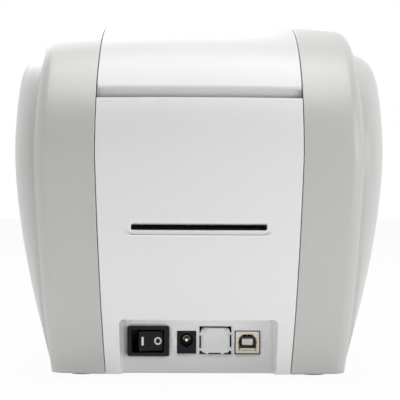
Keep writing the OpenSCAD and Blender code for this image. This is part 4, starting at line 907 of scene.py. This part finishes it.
jack = Layout()
outer = eased_loops(JACK, 9.0, 11.0, 0.3, [
    (CONN_Y - 14, 0.4), (CONN_Y - 13.6, 0), (y - 0.2, 0), (y - 0.04, 0.08), (y, 0.22)])
prism(jack, outer, True, False)
bore = [(cx + BORE_R * math.cos(t), cz + BORE_R * math.sin(t) - (0.35 if abs(t - 1.5 * math.pi) < 0.12 else 0))
        for t in around(96)]
lip = grown(bore, 1.06)
fill(jack, [(p[0], p[2]) for p in outer[-1]], [lip[::-1]], 1.6, lambda x, z: (x, JACK_FACE_Y, z))
prism(jack, [at_y(lip, y), at_y(grown(bore, 1.03), y - 0.08), at_y(bore, y - 0.3), at_y(bore, y - 10)], False, True)
make("jack_body", jack, jack_black, "base", "black_plastic", "dc_jack")
pin = Layout().turned([(CONN_Y - q, r) for q, r in (
    (10, 0), (10, 1.05), (1.7, 1.05), (1.25, 0.95), (1.02, 0.62), (1, 0.3), (1, 0))], (cx, 0, cz), 28, "Y")
make("jack_pin", pin, nickel, "base", "pin_metal", "dc_jack_pin")
spring = Layout()
bow = [(cx + 1.45 * math.cos(t), cz + 0.5 + 1.35 * math.sin(t)) for t in arc(-20, 200, 21)]
spring.grid([at_y(grown(bow, k), CONN_Y - q) for q, k in ((1.6, 1.12), (2.2, 1.0), (6, 0.86), (9, 0.86))])
make("jack_spring", spring, brass, "base", "brass_gear", wall=0.2)

# USB socket. A type B socket in an ivory housing, with a folded steel shield round the port, a pale tongue,
# and four gold contacts in its wells.
ivory = moulded("ivory_housing", (0.86, 0.80, 0.68), 0.4, 0.02, 2600)
tongue_grey = moulded("tongue_grey", (0.74, 0.74, 0.72), 0.45, 0.02, 2600)
gold = metal("contact_gold", (0.86, 0.66, 0.30), 0.22)
shield = metal("shield_steel", (0.56, 0.54, 0.47), 0.34, (1, 8, 1))
USB_FACE_Y, PORT_HALF_W, PORT_HALF_H, PORT_CUT, NOTCH = CONN_Y - 0.4, 4.3, 3.95, 2.0, 0.35
x0, z0, y = *USB, USB_FACE_Y


def port(grow, y):
    """The port's outline at y, with its two upper corners cut and a small notch at each side."""
    w, h, c = PORT_HALF_W + grow, PORT_HALF_H + grow, PORT_CUT + grow * 0.4
    right = [(w, -h), (w, -0.7), (w + NOTCH, -0.5), (w + NOTCH, 0.5), (w, 0.7), (w, h - c), (w - c, h)]
    corners = [(-w, -h)] + right + [(-a, b) for a, b in right[:0:-1]]
    return at_y([(x0 + a, z0 + b) for a, b in corners], y)


usb = Layout()
outer = eased_loops(USB, 12.0, 11.0, 0.45, [
    (CONN_Y - 16, 0.3), (CONN_Y - 15.7, 0), (y - 0.2, 0), (y - 0.04, 0.07), (y, 0.2)])
prism(usb, outer, True, False)
fill(usb, [(p[0], p[2]) for p in outer[-1]], [[(p[0], p[2]) for p in port(0.3, y)[::-1]]], 1.8,
     lambda x, z: (x, USB_FACE_Y, z))
prism(usb, [port(0.3, y), port(0.22, y - 0.25), port(0.22, y - 9.6)], False, True)
make("usb_housing", usb, ivory, "base", "ivory_plastic", "usb_socket")

# The shield's lower edge is rolled outward into a lip. Two black pads behind the upper contacts are painted shade, for
# the dark hollows there.
liner, shade_pads, tongue, contacts = Layout(), Layout(), Layout(), Layout()
prism(liner, [port(grow, y + d) for grow, d in
              ((0.2, -0.12), (0.12, 0.08), (0.02, 0.08), (-0.08, -0.2), (-0.08, -9.3))], False, True)
prism(liner, [box_loop((x0, z0 - 3.45), 8.3 - 2 * i, 1.0 - 2 * i, y - d, 0.45 - i)
              for d, i in ((1.2, 0), (0.25, 0), (0.12, 0.06), (0.08, 0.2))])
make("usb_shield", liner, shield, "base", "steel")
for dx in (-1.2, 1.2):
    prism(shade_pads, [box_loop((x0 + dx, z0 + 2.6), 1.0, 0.9, y - d, 0.2) for d in (9.25, 9.1)])
make("usb_contact_wells", shade_pads, jack_black, "base", "black_plastic")
prism(tongue, [box_loop((x0, z0 + 0.2), 5.6 - 2 * i, 3.2 - 2 * i, CONN_Y - d, 0.3)
               for d, i in ((9, 0), (1.55, 0), (1.3, 0.1), (1.2, 0.3))])
make("usb_tongue_moulding", tongue, tongue_grey, "base", "pale_plastic", "usb_tongue")
for dx in (-1.3, 1.3):
    for dz in (1, -1):
        contacts.grid([[(x0 + dx + e, CONN_Y - d, z0 + dz * (1.6 + up))
                        for d, up in ((8.6, 0.04), (2.6, 0.12), (2.0, 0.1), (1.7, -0.1))] for e in (-0.5, 0.5)])
make("usb_contacts", contacts, gold, "base", "brass_gear", wall=0.12)

# Front panel. One white ABS moulding in the same skin as the rest, with the card feeder and the output mouth,
# and with holes for the lights, the feed button and the cover's latch. Bosses at its back carry the door.
FRONT_TOP_U, FEEDER, OUTPUT, OPENING_HALF = COVER_FRONT_U - 0.2, (80.3, 132.5), (22.5, 61.0), 33.0
BUTTON_U, LATCH_U = angle_at(146.0, False), angle_at(163.0, False)
BUTTON_HOLE_R, LIGHT_HOLE_R, LIGHT_XS = 7.3, 1.56, (-20.0, -14.5, 14.5, 20.0)
DOOR_AXIS = (-147.4246, 128.2231)


def front_s(z):
    return length_at(angle_at(z, False))


def circle(x, y, r, count):
    return [(x + r * math.cos(-a), y + r * math.sin(-a)) for a in around(count)]


def stand(x, u):
    """A frame on the front face at x and u: its z axis leaves the skin and its y axis runs up the slope."""
    p, up, down = skin(x, u), profile(u + 0.05), profile(u - 0.05)
    slope = math.atan2(up[1] - down[1], up[0] - down[0])
    return Matrix.Translation(p) @ Matrix.Rotation(slope, 4, "X")


def sunk(u):
    """A hole's wall that follows the face's own slope at u, as the part in it does."""
    into = stand(0, u).to_3x3() @ Vector((0, 0, -1))
    return lambda x, s: [flat(skin(x, angle_of(s), 0.3) + into * d) for d in (1.3, 2.3)]


def short_wall(x, s):
    return [(x, s, 1.6), (x, s, 2.5)]


def between(low, high):
    """Middle and half height of an opening, along the profile."""
    s0, s1 = front_s(low), front_s(high)
    return (s0 + s1) / 2, (s1 - s0) / 2


s0, s1 = length_at(LOW_FRONT_U), length_at(FRONT_TOP_U)
sides = [(panel_half(profile(angle_of(s))[1]), s) for s in np.linspace(s0, s1, 90)]
front_loop = sides[:-1] + line(sides[-1], (-sides[-1][0], s1), 2.6) + [(-x, s) for x, s in sides[::-1]][:-1] \
    + line((-sides[0][0], s0), sides[0], 2.6)
front = Layout()
start = add_edge(front, front_loop, EDGE_R, ring(front_loop)(straight_in(SKIRT)))
holes = []
for w, (s, h), r, soft, wall in (
        (OPENING_HALF, between(*FEEDER), 1.2, 0.5, short_wall), (OPENING_HALF, between(*OUTPUT), 1.2, 0.5, short_wall),
        (6.4, (length_at(LATCH_U) - 2.0, 4.9), 1.0, 0.35, sunk(LATCH_U))):
    hole = rounded(-w, w, s - h, s + h, r, 2.5, 5)
    holes.append(add_edge(front, hole, soft, ring(hole)(wall)))
for x, r, count in [(0, BUTTON_HOLE_R, 48)] + [(x, LIGHT_HOLE_R, 20) for x in LIGHT_XS]:
    hole = circle(x, length_at(BUTTON_U), r, count)
    holes.append(add_edge(front, hole, min(0.4, r / 5), ring(hole)(sunk(BUTTON_U))))
fill(front, start, holes, 2.9)
make("front_panel_moulding", front, white_abs, "base", "white_plastic", "front_panel", on_case=True)


def placed(layout, frame_at, part):
    layout.patch([frame_at @ Vector(p) for p in part.points], part.faces)


bosses = Layout()
for sign in (1, -1):
    bosses.turned([(sign * x, r) for x, r in (
        (33.0, 1.6), (33.0, 2.8), (33.2, 3.0), (38.0, 3.0), (38.0, 1.6), (33.0, 1.6))], (0, *DOOR_AXIS), 32)
    post = Layout().turned([(-10, 0), (-10, 2.7), (-9.7, 3.0), (-1.5, 3.0), (-1.5, 0)], (sign * 26.0, 0, 0), 24, "Z")
    placed(bosses, stand(0, BUTTON_U), post)
make("front_bosses", bosses, white_abs, "base", "white_plastic")

# Feeder door. A white flap that continues the front's curve, hung on a pin through its barrel, with a
# scooped notch for a finger at its lower edge.
DOOR_HALF, DOOR_FOOT, DOOR_TOP, NOTCH_HALF, NOTCH_TOP, DOOR_DEEP = 32.2, front_s(82.9), front_s(127.7), 9.0, 84.3, 2.5
half = DOOR_HALF
notch = [(NOTCH_HALF * math.cos(a), DOOR_FOOT + (front_s(NOTCH_TOP) - DOOR_FOOT) * 1.3 * math.sin(a))
         for a in np.linspace(math.pi, 0, 15)]
stops = [notch[-1], (half, DOOR_FOOT), (half, DOOR_TOP), (-half, DOOR_TOP), (-half, DOOR_FOOT)]
door_loop = line(stops[-1], notch[0], 2.5) + notch[:-1]
for a, b in zip(stops, stops[1:]):
    door_loop += line(a, b, 2.5)
door = Layout()
fill(door, add_edge(door, door_loop, 0.5, ring(door_loop)(lambda x, s: [(x, s, 2.1), (x, s, DOOR_DEEP)])), [], 2.8)
fill(door, door_loop, [], 4, lambda x, s: (x, s, DOOR_DEEP))
make("feeder_door_moulding", door, white_abs, "door", "white_plastic", "feeder_door", on_case=True)
barrel = Layout().turned([(-half, 1.56), (-half, 2.8), (-half + 0.2, 3), (half - 0.2, 3), (half, 2.8), (half, 1.56),
                          (-half, 1.56)], (0, *DOOR_AXIS), 36)
make("door_barrel", barrel, white_abs, "door", "white_plastic")

# Front fittings. A grey feed button with a shallow dish, four light pipes from the little board behind the
# panel, and a grey latch with a ribbed grip that slides to free the cover.
grey_trim = moulded("grey_trim", (0.38, 0.38, 0.385), 0.38, 0.03, 2200)


def light_pipe_finish():
    material, tree, shader, at = shader_of("light_pipe", Transmission_Weight=0.7, IOR=1.49)
    cloud = noise(tree, at, 600, 2)
    tinted(tree, shader, (0.70, 0.86, 0.74), spread(tree, cloud, 0.92, 1.0))
    join(tree, (spread(tree, cloud, 0.10, 0.22), shader.inputs["Roughness"]))
    bumped(tree, shader, cloud, 0.01, 0.3)
    return material


light_pipe = light_pipe_finish()
button, pipes, latch = Layout(), Layout(), Layout()
placed(button, stand(0, BUTTON_U), Layout().turned(
    [(-8.5, 0), (-8.5, 1.8), (-8.3, 2.0), (-3.5, 2.0), (-3.5, 5.3), (-2.5, 5.5), (-2.5, 7.0), (0.3, 7.0), (0.55, 6.93),
     (0.72, 6.72), (0.8, 6.4), (0.74, 5.8), (0.5, 4.0), (0.42, 2.0), (0.4, 0)], (0, 0, 0), 56, "Z"))
make("feed_button_cap", button, grey_trim, "button", "grey_plastic", "feed_button")
for x in LIGHT_XS:
    placed(pipes, stand(x, BUTTON_U), Layout().turned(
        [(-9.4, 0), (-9.4, 1.5), (-0.1, 1.5), (0.12, 1.38), (0.25, 1.0), (0.3, 0.5), (0.3, 0)], (0, 0, 0), 24, "Z"))
make("light_pipes", pipes, light_pipe, "base", "light_pipe", "status_lights")


def pillow(frame_at, w, h, r, steps):
    """Adds a rounded block to the latch, from half sizes, a corner radius, and steps of height and inset."""
    block = Layout()
    prism(block, [[(px, py, z) for px, py in rounded(-w + i, w - i, -h + i, h - i, max(r - i, 0.1), 50, 5, False)]
                  for z, i in steps])
    placed(latch, stand(0, LATCH_U) @ frame_at, block)


pillow(Matrix(), 6.0, 2.5, 0.5, [(-5.5, 0.2), (-5.3, 0), (0.5, 0)])
pillow(Matrix(), 9.0, 4.5, 1.4, [(0.4, 0.25), (0.5, 0.05), (0.7, 0), (1.6, 0), (1.95, 0.12), (2.14, 0.4), (2.2, 0.8)])
for k in range(-2, 3):
    pillow(Matrix.Translation((0, 1.35 * k, -0.28)), 6.2, 0.42, 0.4, [(1.9, 0), (2.2, 0.0), (2.42, 0.15), (2.48, 0.3)])
pillow(Matrix.Translation((0, 0.5, 0)), 9.0, 4.0, 0.6, [(-5.5, 0.2), (-5.3, 0), (-3.6, 0), (-3.4, 0.2)])
make("cover_latch_slide", latch, grey_trim, "latch", "grey_plastic", "cover_latch")

# Base and feet. A black moulded tray closes the case from below, and stands on four rubber feet pressed into
# it. Each foot flares a little and has a soft rim.
black_abs = moulded("black_abs", (0.035, 0.035, 0.037), 0.45, 0.04, 1900, 0.03, 0.012)
foot_rubber = moulded("foot_rubber", (0.05, 0.05, 0.052), 0.7, 0.05, 2400, 0.05, 0.01)


def copies_tree():
    """Puts a copy of one shape on every point. Each point may turn its copy, and a seed spins them a little."""
    tree = bpy.data.node_groups.new("set_copies", "GeometryNodeTree")
    given, out = inputs_of(tree, {"Spin": 0.0, "Seed": 3})
    tree.interface.new_socket("Shape", in_out="INPUT", socket_type="NodeSocketObject")
    shape = node(tree, "GeometryNodeObjectInfo")
    named = node(tree, "GeometryNodeInputNamedAttribute", data_type="FLOAT")
    named.inputs["Name"].default_value = "turn"
    chance = node(tree, "FunctionNodeRandomValue", data_type="FLOAT")
    angle = calc(tree, "ADD", named.outputs[0], calc(tree, "MULTIPLY", chance.outputs[1], given.outputs["Spin"]))
    turn = node(tree, "ShaderNodeCombineXYZ")
    spot = node(tree, "GeometryNodeInstanceOnPoints")
    join(tree, (given.outputs["Shape"], shape.inputs["Object"]), (given.outputs["Seed"], chance.inputs["Seed"]),
         (angle, turn.inputs[2]), (given, spot.inputs["Points"]), (shape.outputs["Geometry"], spot.inputs["Instance"]),
         (turn, spot.inputs["Rotation"]))
    finish_tree(tree, given, spot.outputs[0], out)
    return tree


set_copies = copies_tree()


def copies(name, shape, places, finish, body, slot, *replaced, spin=0.0):
    """Makes one piece of a shape repeated at places, given as x, y, z and a turn in degrees."""
    mould = bpy.data.objects.new("mould_for_copies", shape.mesh())
    mould.data.polygons.foreach_set("use_smooth", [True] * len(mould.data.polygons))
    scene.collection.objects.link(mould)
    mesh = bpy.data.meshes.new(name)
    mesh.from_pydata([Vector(p[:3]) * MM for p in places], [], [])
    turn = mesh.attributes.new("turn", "FLOAT", "POINT")
    turn.data.foreach_set("value", [math.radians(p[3]) if len(p) > 3 else 0.0 for p in places])
    make(name, mesh, finish, body, slot, *replaced, tree=set_copies, Shape=mould, Spin=spin)
    bpy.data.objects.remove(mould)


FOOT_SPOTS = [(x, y, 0.0) for x in (60.0, -60.0) for y in (104.0, -118.0)]
foot = Layout().turned([(0.5, 0), (0.5, 4.6), (0.12, 5.3), (0.0, 6.0), (0.0, 6.7), (0.25, 7.25), (0.8, 7.6),
                        (1.5, 7.85), (2.6, 8.0), (2.95, 8.0), (3.0, 7.9), (3.0, 0)], (0, 0, 0), 40, "Z")
copies("table_feet", foot, FOOT_SPOTS, foot_rubber, "base", "rubber", "rubber_feet", spin=1.0)

# Chassis. Two zinc-plated steel plates with folded tabs stand on the base, with cross rods between them. The
# hinge pins, gear studs and plain bushings are pressed in.
sheet_zinc = metal("sheet_zinc", (0.62, 0.63, 0.64), 0.38, (1, 0.25, 1), 500, 0.012, 0.12)
turned_steel = metal("turned_steel", (0.66, 0.67, 0.68), 0.24, (12, 1, 1), 300, 0.008)


def eased(name, source, finish, width):
    """A copy of a CAD solid with its doubles merged, its flats joined and its edges rounded over."""
    mesh = frame["nodes"][source].data.copy()
    mesh.materials.clear()
    bm = bmesh.new()
    bm.from_mesh(mesh)
    bmesh.ops.remove_doubles(bm, verts=bm.verts, dist=0.000004)
    bmesh.ops.dissolve_degenerate(bm, edges=bm.edges, dist=0.000002)
    bmesh.ops.dissolve_limit(bm, angle_limit=math.radians(1.5), verts=bm.verts, edges=bm.edges)
    bmesh.ops.recalc_face_normals(bm, faces=bm.faces)
    bm.to_mesh(mesh)
    bm.free()
    make(name, mesh, finish, BODY_OF[source], SLOT_OF[source], source, edge=width, angle=25)


for side in ("right", "left"):
    eased("chassis_plate_" + side, side + "_chassis_plate", sheet_zinc, 0.2)
rods = Layout()
for y, z in (40, 90), (-12, 90), (112, 40), (-40, 60):
    half = [(38.7, 0), (38.7, 3.6), (38.5, 4.0), (37.6, 4.0), (37.5, 2.5)]
    rods.turned([(-x, r) for x, r in half] + half[::-1], (0, y, z), 28)
make("cross_rods", rods, turned_steel, "base", "steel", "chassis_rods")

# Screws. Pan heads with a cross recess hold the chassis and the board to the base tray, each stopped at its own
# angle.
SEAT_R, SEAT_Z, FULL_SPIN, BASE_TOP, BOARD_TOP = 1.5, 1.4, 6.283, 7.0, 13.1
head = Layout().turned([(-4.6, 0), (-4.6, 1.1), (-4.2, 1.5), (0, 1.5), (0, 2.7), (0.3, 2.8), (0.75, 2.65), (1.15, 2.2),
                        (SEAT_Z, SEAT_R)], (0, 0, 0), 24, "Z")
arm, wide = 1.2, 0.35
cross = [(wide, wide), (wide, arm), (-wide, arm), (-wide, wide), (-arm, wide), (-arm, -wide), (-wide, -wide),
         (-wide, -arm), (wide, -arm), (wide, -wide), (arm, -wide), (arm, wide)]
fill(head, [(SEAT_R * math.cos(t), SEAT_R * math.sin(t)) for t in around(24)], [cross], 5,
     lambda x, y: (x, y, SEAT_Z))
prism(head, [[(x * k, y * k, z) for x, y in cross] for k, z in ((1, SEAT_Z), (0.45, 0.6))], False)
screws = [(sign * 44.5, y, BASE_TOP) for sign in (1, -1) for y in (100.0, 0.0, -104.0)]
screws += [(sign * 31.0, y, BOARD_TOP) for sign in (1, -1) for y in (35.0, 100.0)]
copies("pan_head_screws", head, screws, turned_steel, "base", "steel", "case_screws", spin=FULL_SPIN)

# Rollers. Five rubber feed rollers on steel shafts carry the card, two small pinch rollers press it down and a
# tacky roller cleans it. Spring brackets hold the upper ones.
ROLLER_Z, ROLLER_R, SHAFT_R, TYRE_HALF, PIN_R = 71.0, 7, 3.0, 27, 1.5
SHAFTS = {"exit": 135.0, "rear": 75.0, "platen": 15.0, "front": -45.0, "pick": -105.0}
roller_rubber = moulded("roller_rubber", (0.075, 0.075, 0.08), 0.62, 0.03, 2600, 0.05, 0.02)
tacky_rubber = moulded("tacky_rubber", (0.20, 0.29, 0.40), 0.32, 0.01, 900, 0.03, 0.02)


def tyre(name, y, z, r, bore, count, finish):
    """A roller's rubber, a tube with softened ends."""
    soft, half, source = 0.35, TYRE_HALF, name + "_roller"
    rings = [(-half, bore), (-half, r - soft), (-half + soft * 0.3, r - soft * 0.3), (-half + soft, r),
             (half - soft, r), (half - soft * 0.3, r - soft * 0.3), (half, r - soft), (half, bore), (-half, bore)]
    make(name + "_tyre", Layout().turned(rings, (0, y, z), count), finish, BODY_OF[source], SLOT_OF[source], source)


for name, y in SHAFTS.items():
    tyre(name, y, ROLLER_Z, ROLLER_R, SHAFT_R, 56, roller_rubber)
for name, y, z, r, finish in (("exit_pinch", 135.0, 82.8, 4, roller_rubber),
                              ("rear_pinch", 75.0, 82.8, 4, roller_rubber), ("cleaning", -45.0, 84.8, 6, tacky_rubber)):
    tyre(name, y, z, r, PIN_R, 40, finish)
    axle = Layout().turned([(-34, 0), (-34, 1.2), (-33.7, PIN_R), (33.7, PIN_R), (34, 1.2), (34, 0)], (0, y, z), 24)
    make(name + "_axle", axle, turned_steel, BODY_OF[name + "_roller"], "steel")
eased("pinch_springs", "pinch_brackets", sheet_zinc, 0.15)

# Gear train. Cream acetal gears link the shafts through idlers, driven by a brass pinion over a two-step
# reduction. Each is turned as a blank, and one node tree cuts the teeth.
acetal = moulded("acetal", (0.78, 0.74, 0.63), 0.36, 0.01, 1600, 0.02, 0.04)


def teeth_tree():
    """Moves the points marked as toothed in or out, to the tip or the root of the tooth that they fall on."""
    tree = bpy.data.node_groups.new("cut_teeth", "GeometryNodeTree")
    given, out = inputs_of(tree, {"Teeth": 24, "Root radius": 0.0108, "Tip radius": 0.0129, "Phase": 0.0,
                                  "Axis Y": 0.0, "Axis Z": 0.0, "Tip width": 0.17, "Root width": 0.33})
    size = given.outputs
    place = node(tree, "ShaderNodeSeparateXYZ")
    join(tree, (node(tree, "GeometryNodeInputPosition"), place.inputs[0]))
    dy = calc(tree, "SUBTRACT", place.outputs[1], size["Axis Y"])
    dz = calc(tree, "SUBTRACT", place.outputs[2], size["Axis Z"])
    turn = calc(tree, "SUBTRACT", calc(tree, "ARCTAN2", dz, dy), size["Phase"])
    share = calc(tree, "DIVIDE", calc(tree, "MULTIPLY", turn, size["Teeth"]), math.tau)
    off = calc(tree, "ABSOLUTE", calc(tree, "SUBTRACT", calc(tree, "FRACT", calc(tree, "ADD", share, 0.5)), 0.5))
    flank = node(tree, "ShaderNodeMapRange", clamp=True)
    limits = (size[key] for key in ("Tip width", "Root width", "Tip radius", "Root radius"))
    join(tree, (off, flank.inputs[0]), *zip(limits, flank.inputs[1:5]))
    radius = calc(tree, "SQRT", calc(tree, "ADD", calc(tree, "MULTIPLY", dy, dy), calc(tree, "MULTIPLY", dz, dz)))
    grow = calc(tree, "DIVIDE", flank.outputs[0], radius)
    cut = node(tree, "ShaderNodeCombineXYZ")
    rim = node(tree, "GeometryNodeInputNamedAttribute", data_type="FLOAT")
    rim.inputs["Name"].default_value = "toothed"
    move = node(tree, "GeometryNodeSetPosition")
    join(tree, (place, cut.inputs[0]),
         (calc(tree, "ADD", size["Axis Y"], calc(tree, "MULTIPLY", dy, grow)), cut.inputs[1]),
         (calc(tree, "ADD", size["Axis Z"], calc(tree, "MULTIPLY", dz, grow)), cut.inputs[2]),
         (given, move.inputs["Geometry"]), (calc(tree, "GREATER_THAN", rim.outputs[0], 0.5), move.inputs["Selection"]),
         (cut, move.inputs["Position"]))
    finish_tree(tree, given, move.outputs[0], out)
    return tree


cut_teeth = teeth_tree()


def gear(name, teeth, x0, x1, y, z, phase, bore, hub, finish, source, *replaced, slot=None):
    """A gear blank with a hub and a thinner web, from x0 to x1, and its teeth."""
    root, tip = teeth / 2 - 1.2, teeth / 2 + 0.92
    web = 1.3 if root - hub > 4 else 0.0
    half = [(0, bore), (0, hub - 0.2), (0.2, hub), (web, hub + 0.1), (web, root - 1.7), (0.15, root - 1.3),
            (0, root - 1.1), (0, root + 0.001), (0.25, root + 0.002)]
    rings = [(x0 + x, r) for x, r in half] + [(x1 - x, r) for x, r in half[::-1]] + [(x0, bore)]
    if not web:
        rings = [r for r in rings if r[1] == bore or r[1] > root]
    mesh = Layout().turned(rings, (0, y, z), teeth * 10).mesh()
    rim = (root + 0.0005) * MM
    mesh.attributes.new("toothed", "FLOAT", "POINT").data.foreach_set(
        "value", [float(math.hypot(v.co.y - y * MM, v.co.z - z * MM) > rim) for v in mesh.vertices])
    make(name, mesh, finish, BODY_OF[source], slot or SLOT_OF[source], *replaced, tree=cut_teeth, **{
        "Teeth": teeth, "Root radius": root * MM, "Tip radius": tip * MM, "Phase": math.radians(phase),
        "Axis Y": y * MM, "Axis Z": z * MM})


STUD_BORE, HUB, PINION_Z = 2.56, 5.4, 27.0
for name, y in SHAFTS.items():
    shaft = Layout()
    shaft.turned([(-38.9, 0), (-38.9, 2.6), (-38.6, 3.0), (38.5, 3.0), (38.55, 4.2), (38.7, 4.5), (39.0, 4.5),
                  (39.0, 3.0), (45.1, 3.0), (45.1, 2.6), (45.5, 2.6), (45.5, 3.0), (45.7, 3.0), (46.0, 2.7), (46.0, 0)],
                 (0, y, ROLLER_Z), 32)
    shaft.turned([(-39.7, 0), (-39.7, 3.9), (-39.5, 4.2), (-38.8, 4.2), (-38.6, 4.0), (-38.6, 0)], (0, y, ROLLER_Z), 32)
    make(name + "_axle_steel", shaft, turned_steel, BODY_OF[name + "_roller"], "steel", name + "_shaft")
    gear(name + "_gear", 24, 39.0, 44.5, y, ROLLER_Z, 0, SHAFT_R, HUB, acetal, name + "_roller", slot="gear_plastic")
for name, y in ("exit_idler", 105.0), ("rear_idler", 45.0), ("front_idler", -15.0), ("pick_idler", -75.0):
    gear(name + "_gear", 36, 39.0, 44.5, y, ROLLER_Z, 5, STUD_BORE, HUB, acetal, name, name)
gear("reduction_small", 12, 39.0, 45.2, -15.0, 47.0, 0, STUD_BORE, 3.6, acetal, "reduction_gear", "reduction_gear")
gear("reduction_large", 30, 45.0, 50.5, -15.0, 47.0, 0, STUD_BORE, HUB, acetal, "reduction_gear")
gear("pinion_brass", 10, 44.5, 50.5, -15.0, PINION_Z, 18, PIN_R, 2.6, brass, "motor_pinion", "motor_pinion",
     slot="brass_gear")
shaft = Layout().turned([(37.9, 0), (37.9, PIN_R), (51.2, PIN_R), (51.5, 1.2), (51.5, 0)], (0, -15.0, PINION_Z), 20)
make("motor_shaft", shaft, turned_steel, BODY_OF["motor_pinion"], "steel")

# Ribbon. The supply and take-up spools have black cores and flanges. The dark film runs between them, round
# two guide rods and under the print head, with a slight sheen.
def ribbon_finish():
    material, tree, shader, at = shader_of("ribbon", Coat_Weight=0.5, Coat_Roughness=0.15)
    winds = noise(tree, at, 220, 2, (0.05, 1, 1))
    tinted(tree, shader, (0.032, 0.022, 0.040), spread(tree, winds, 0.8, 1.25))
    join(tree, (spread(tree, winds, 0.22, 0.36), shader.inputs["Roughness"]))
    bumped(tree, shader, winds, 0.03, 0.3)
    return material


ribbon = ribbon_finish()
SPOOL_Z, CORE_R, FLANGE_IN, PEG_R = 124.0, 6.0, 32.3, 3.5
for name, y, r in ("supply", 70.0, 20.0), ("takeup", -42.0, 11.0):
    source, spot = name + "_spool", (0, y, SPOOL_Z)
    end = [(38.0, 0), (38.0, 3.2), (37.7, PEG_R), (33.8, PEG_R), (33.8, r + 1.7), (33.6, r + 2.0), (32.5, r + 2.0),
           (FLANGE_IN, r + 1.7), (FLANGE_IN, CORE_R)]
    core = Layout().turned([(-x, q) for x, q in end] + end[::-1], spot, 56)
    make(name + "_core", core, black_abs, BODY_OF[source], "black_plastic", source)
    wound = [(32.25, CORE_R), (32.25, r - 0.2), (32.05, r)]
    roll = Layout().turned([(-x, q) for x, q in wound] + wound[::-1], spot, 72)
    make(name + "_roll", roll, ribbon, BODY_OF[source], "ribbon")

# Print head and cover frame. A finned aluminium head hangs from a black frame inside the cover, over the
# platen roller.
head_alloy = metal("head_alloy", (0.36, 0.37, 0.39), 0.42, (1, 6, 1), 500, 0.01)
eased("head_casting", "print_head", head_alloy, 0.2)
eased("cover_ribs", "cover_frame", black_abs, 0.35)

# Card path mouldings. A black bed with two runner strips, the guide behind the rear slot, the feeder hopper
# with its pale weight, and the output bay with its sliding tray.
for name, source, width in (("bed_moulding", "card_bed", 0.25), ("slot_funnel", "rear_slot_guide", 0.2),
                            ("hopper_moulding", "input_hopper", 0.35), ("bay_moulding", "output_bay", 0.35),
                            ("tray_moulding", "output_tray", 0.4)):
    eased(name, source, black_abs, width)
eased("weight_moulding", "card_weight", grey_trim, 0.5)

# Main board. A green board on four posts carries the rear sockets, a processor, a driver with its heat sink,
# and a row of capacitors. Copper tracks show faintly through the lacquer.
def board_finish():
    material, tree, shader, at = shader_of("board_lacquer", Coat_Weight=0.4)
    tracks = node(tree, "ShaderNodeTexBrick")
    for key, value in {"Scale": 260.0, "Mortar Size": 0.018, "Brick Width": 0.9, "Row Height": 0.3,
                       "Color1": (1, 1, 1, 1), "Color2": (0.86, 0.86, 0.86, 1), "Mortar": (1.7, 1.7, 1.7, 1)}.items():
        tracks.inputs[key].default_value = value
    join(tree, (at, tracks.inputs["Vector"]))
    cloud = noise(tree, at, 90, 3)
    tinted(tree, shader, (0.012, 0.085, 0.04),
           calc(tree, "MULTIPLY", tracks.outputs["Color"], spread(tree, cloud, 0.9, 1.1)))
    join(tree, (spread(tree, cloud, 0.28, 0.4), shader.inputs["Roughness"]))
    bumped(tree, shader, tracks.outputs["Fac"], 0.03, 0.3)
    return material


board_lacquer = board_finish()
chip_epoxy = moulded("chip_epoxy", (0.018, 0.018, 0.02), 0.5, 0.02, 4000, 0.04, 0.006)
can_sleeve = moulded("can_sleeve", (0.02, 0.022, 0.05), 0.3, 0.01, 1500, wear=0.004)
CHIPS = [(-24, 46, 14, 14, 2.2), (4, 52, 20, 20, 2.4), (-6, 76, 12, 10, 1.8), (22, 82, 10, 8, 1.8),
         (-30, 64, 6, 18, 7), (24, 38, 8, 18, 8)]
LEADED, LEAD_PITCH = 4, 1.27
chips = Layout()
for x, y, w, d, h in CHIPS:
    chips.slab((x, x + w), (y, y + d), (BOARD_TOP + 0.05, BOARD_TOP + h))
make("board_chips", chips, chip_epoxy, "base", "chip_black", "board_components", edge=0.3)
lead = Layout()
lead.grid([[(dx, 0.0, 1.0), (dx, 0.35, 1.0), (dx, 0.6, 0.1), (dx, 1.2, 0.05)] for dx in (-0.22, 0.22)])
spots = []
for x, y, w, d, h in CHIPS[:LEADED]:
    pairs = int(w / LEAD_PITCH) - 1
    for k in range(pairs):
        along = x + w / 2 + (k - (pairs - 1) / 2) * LEAD_PITCH
        spots += [(along, y + d, BOARD_TOP, 0), (along, y, BOARD_TOP, 180)]
copies("chip_leads", lead, spots, nickel, "base", "pin_metal")
for name, r, h, where in (("large_cans", 4, 11, ((16, 90), (6, 92))), ("small_cans", 3, 8, ((-14, 92), (-22, 92)))):
    can = Layout().turned([(0, 0), (0, r - 0.1), (0.6, r), (1.2, r - 0.3), (1.6, r), (h - 0.5, r), (h - 0.15, r - 0.15),
                           (h, r - 0.5), (h - 0.15, r - 0.7), (h - 0.15, 0)], (0, 0, 0), 32, "Z")
    copies("board_" + name, can, [(x, y, BOARD_TOP) for x, y in where], can_sleeve, "base", "chip_black",
           spin=FULL_SPIN)

# Motors. A black stepper drives the gear train, and a small grey motor winds the used ribbon.
motor_black = moulded("motor_paint", (0.03, 0.03, 0.032), 0.4, 0.02, 1200, 0.03, 0.015)
motor_can = metal("motor_can", (0.50, 0.51, 0.52), 0.34, (6, 1, 1), 260, 0.01)
eased("stepper_body", "drive_motor", motor_black, 0.8)
eased("winding_motor", "takeup_motor", motor_can, 0.4)

# The CAD solids that are right as they are keep their shape, and take their finishes here.
KEPT = {"base_tray": black_abs, "main_board": board_lacquer, "panel_board": board_lacquer, "roller_bushings": acetal,
        "gear_studs": turned_steel, "hinge_pins": turned_steel, "ribbon_film": ribbon}
for name, finish in KEPT.items():
    solid = frame["nodes"][name]
    solid.data.materials.clear()
    solid.data.materials.append(finish)
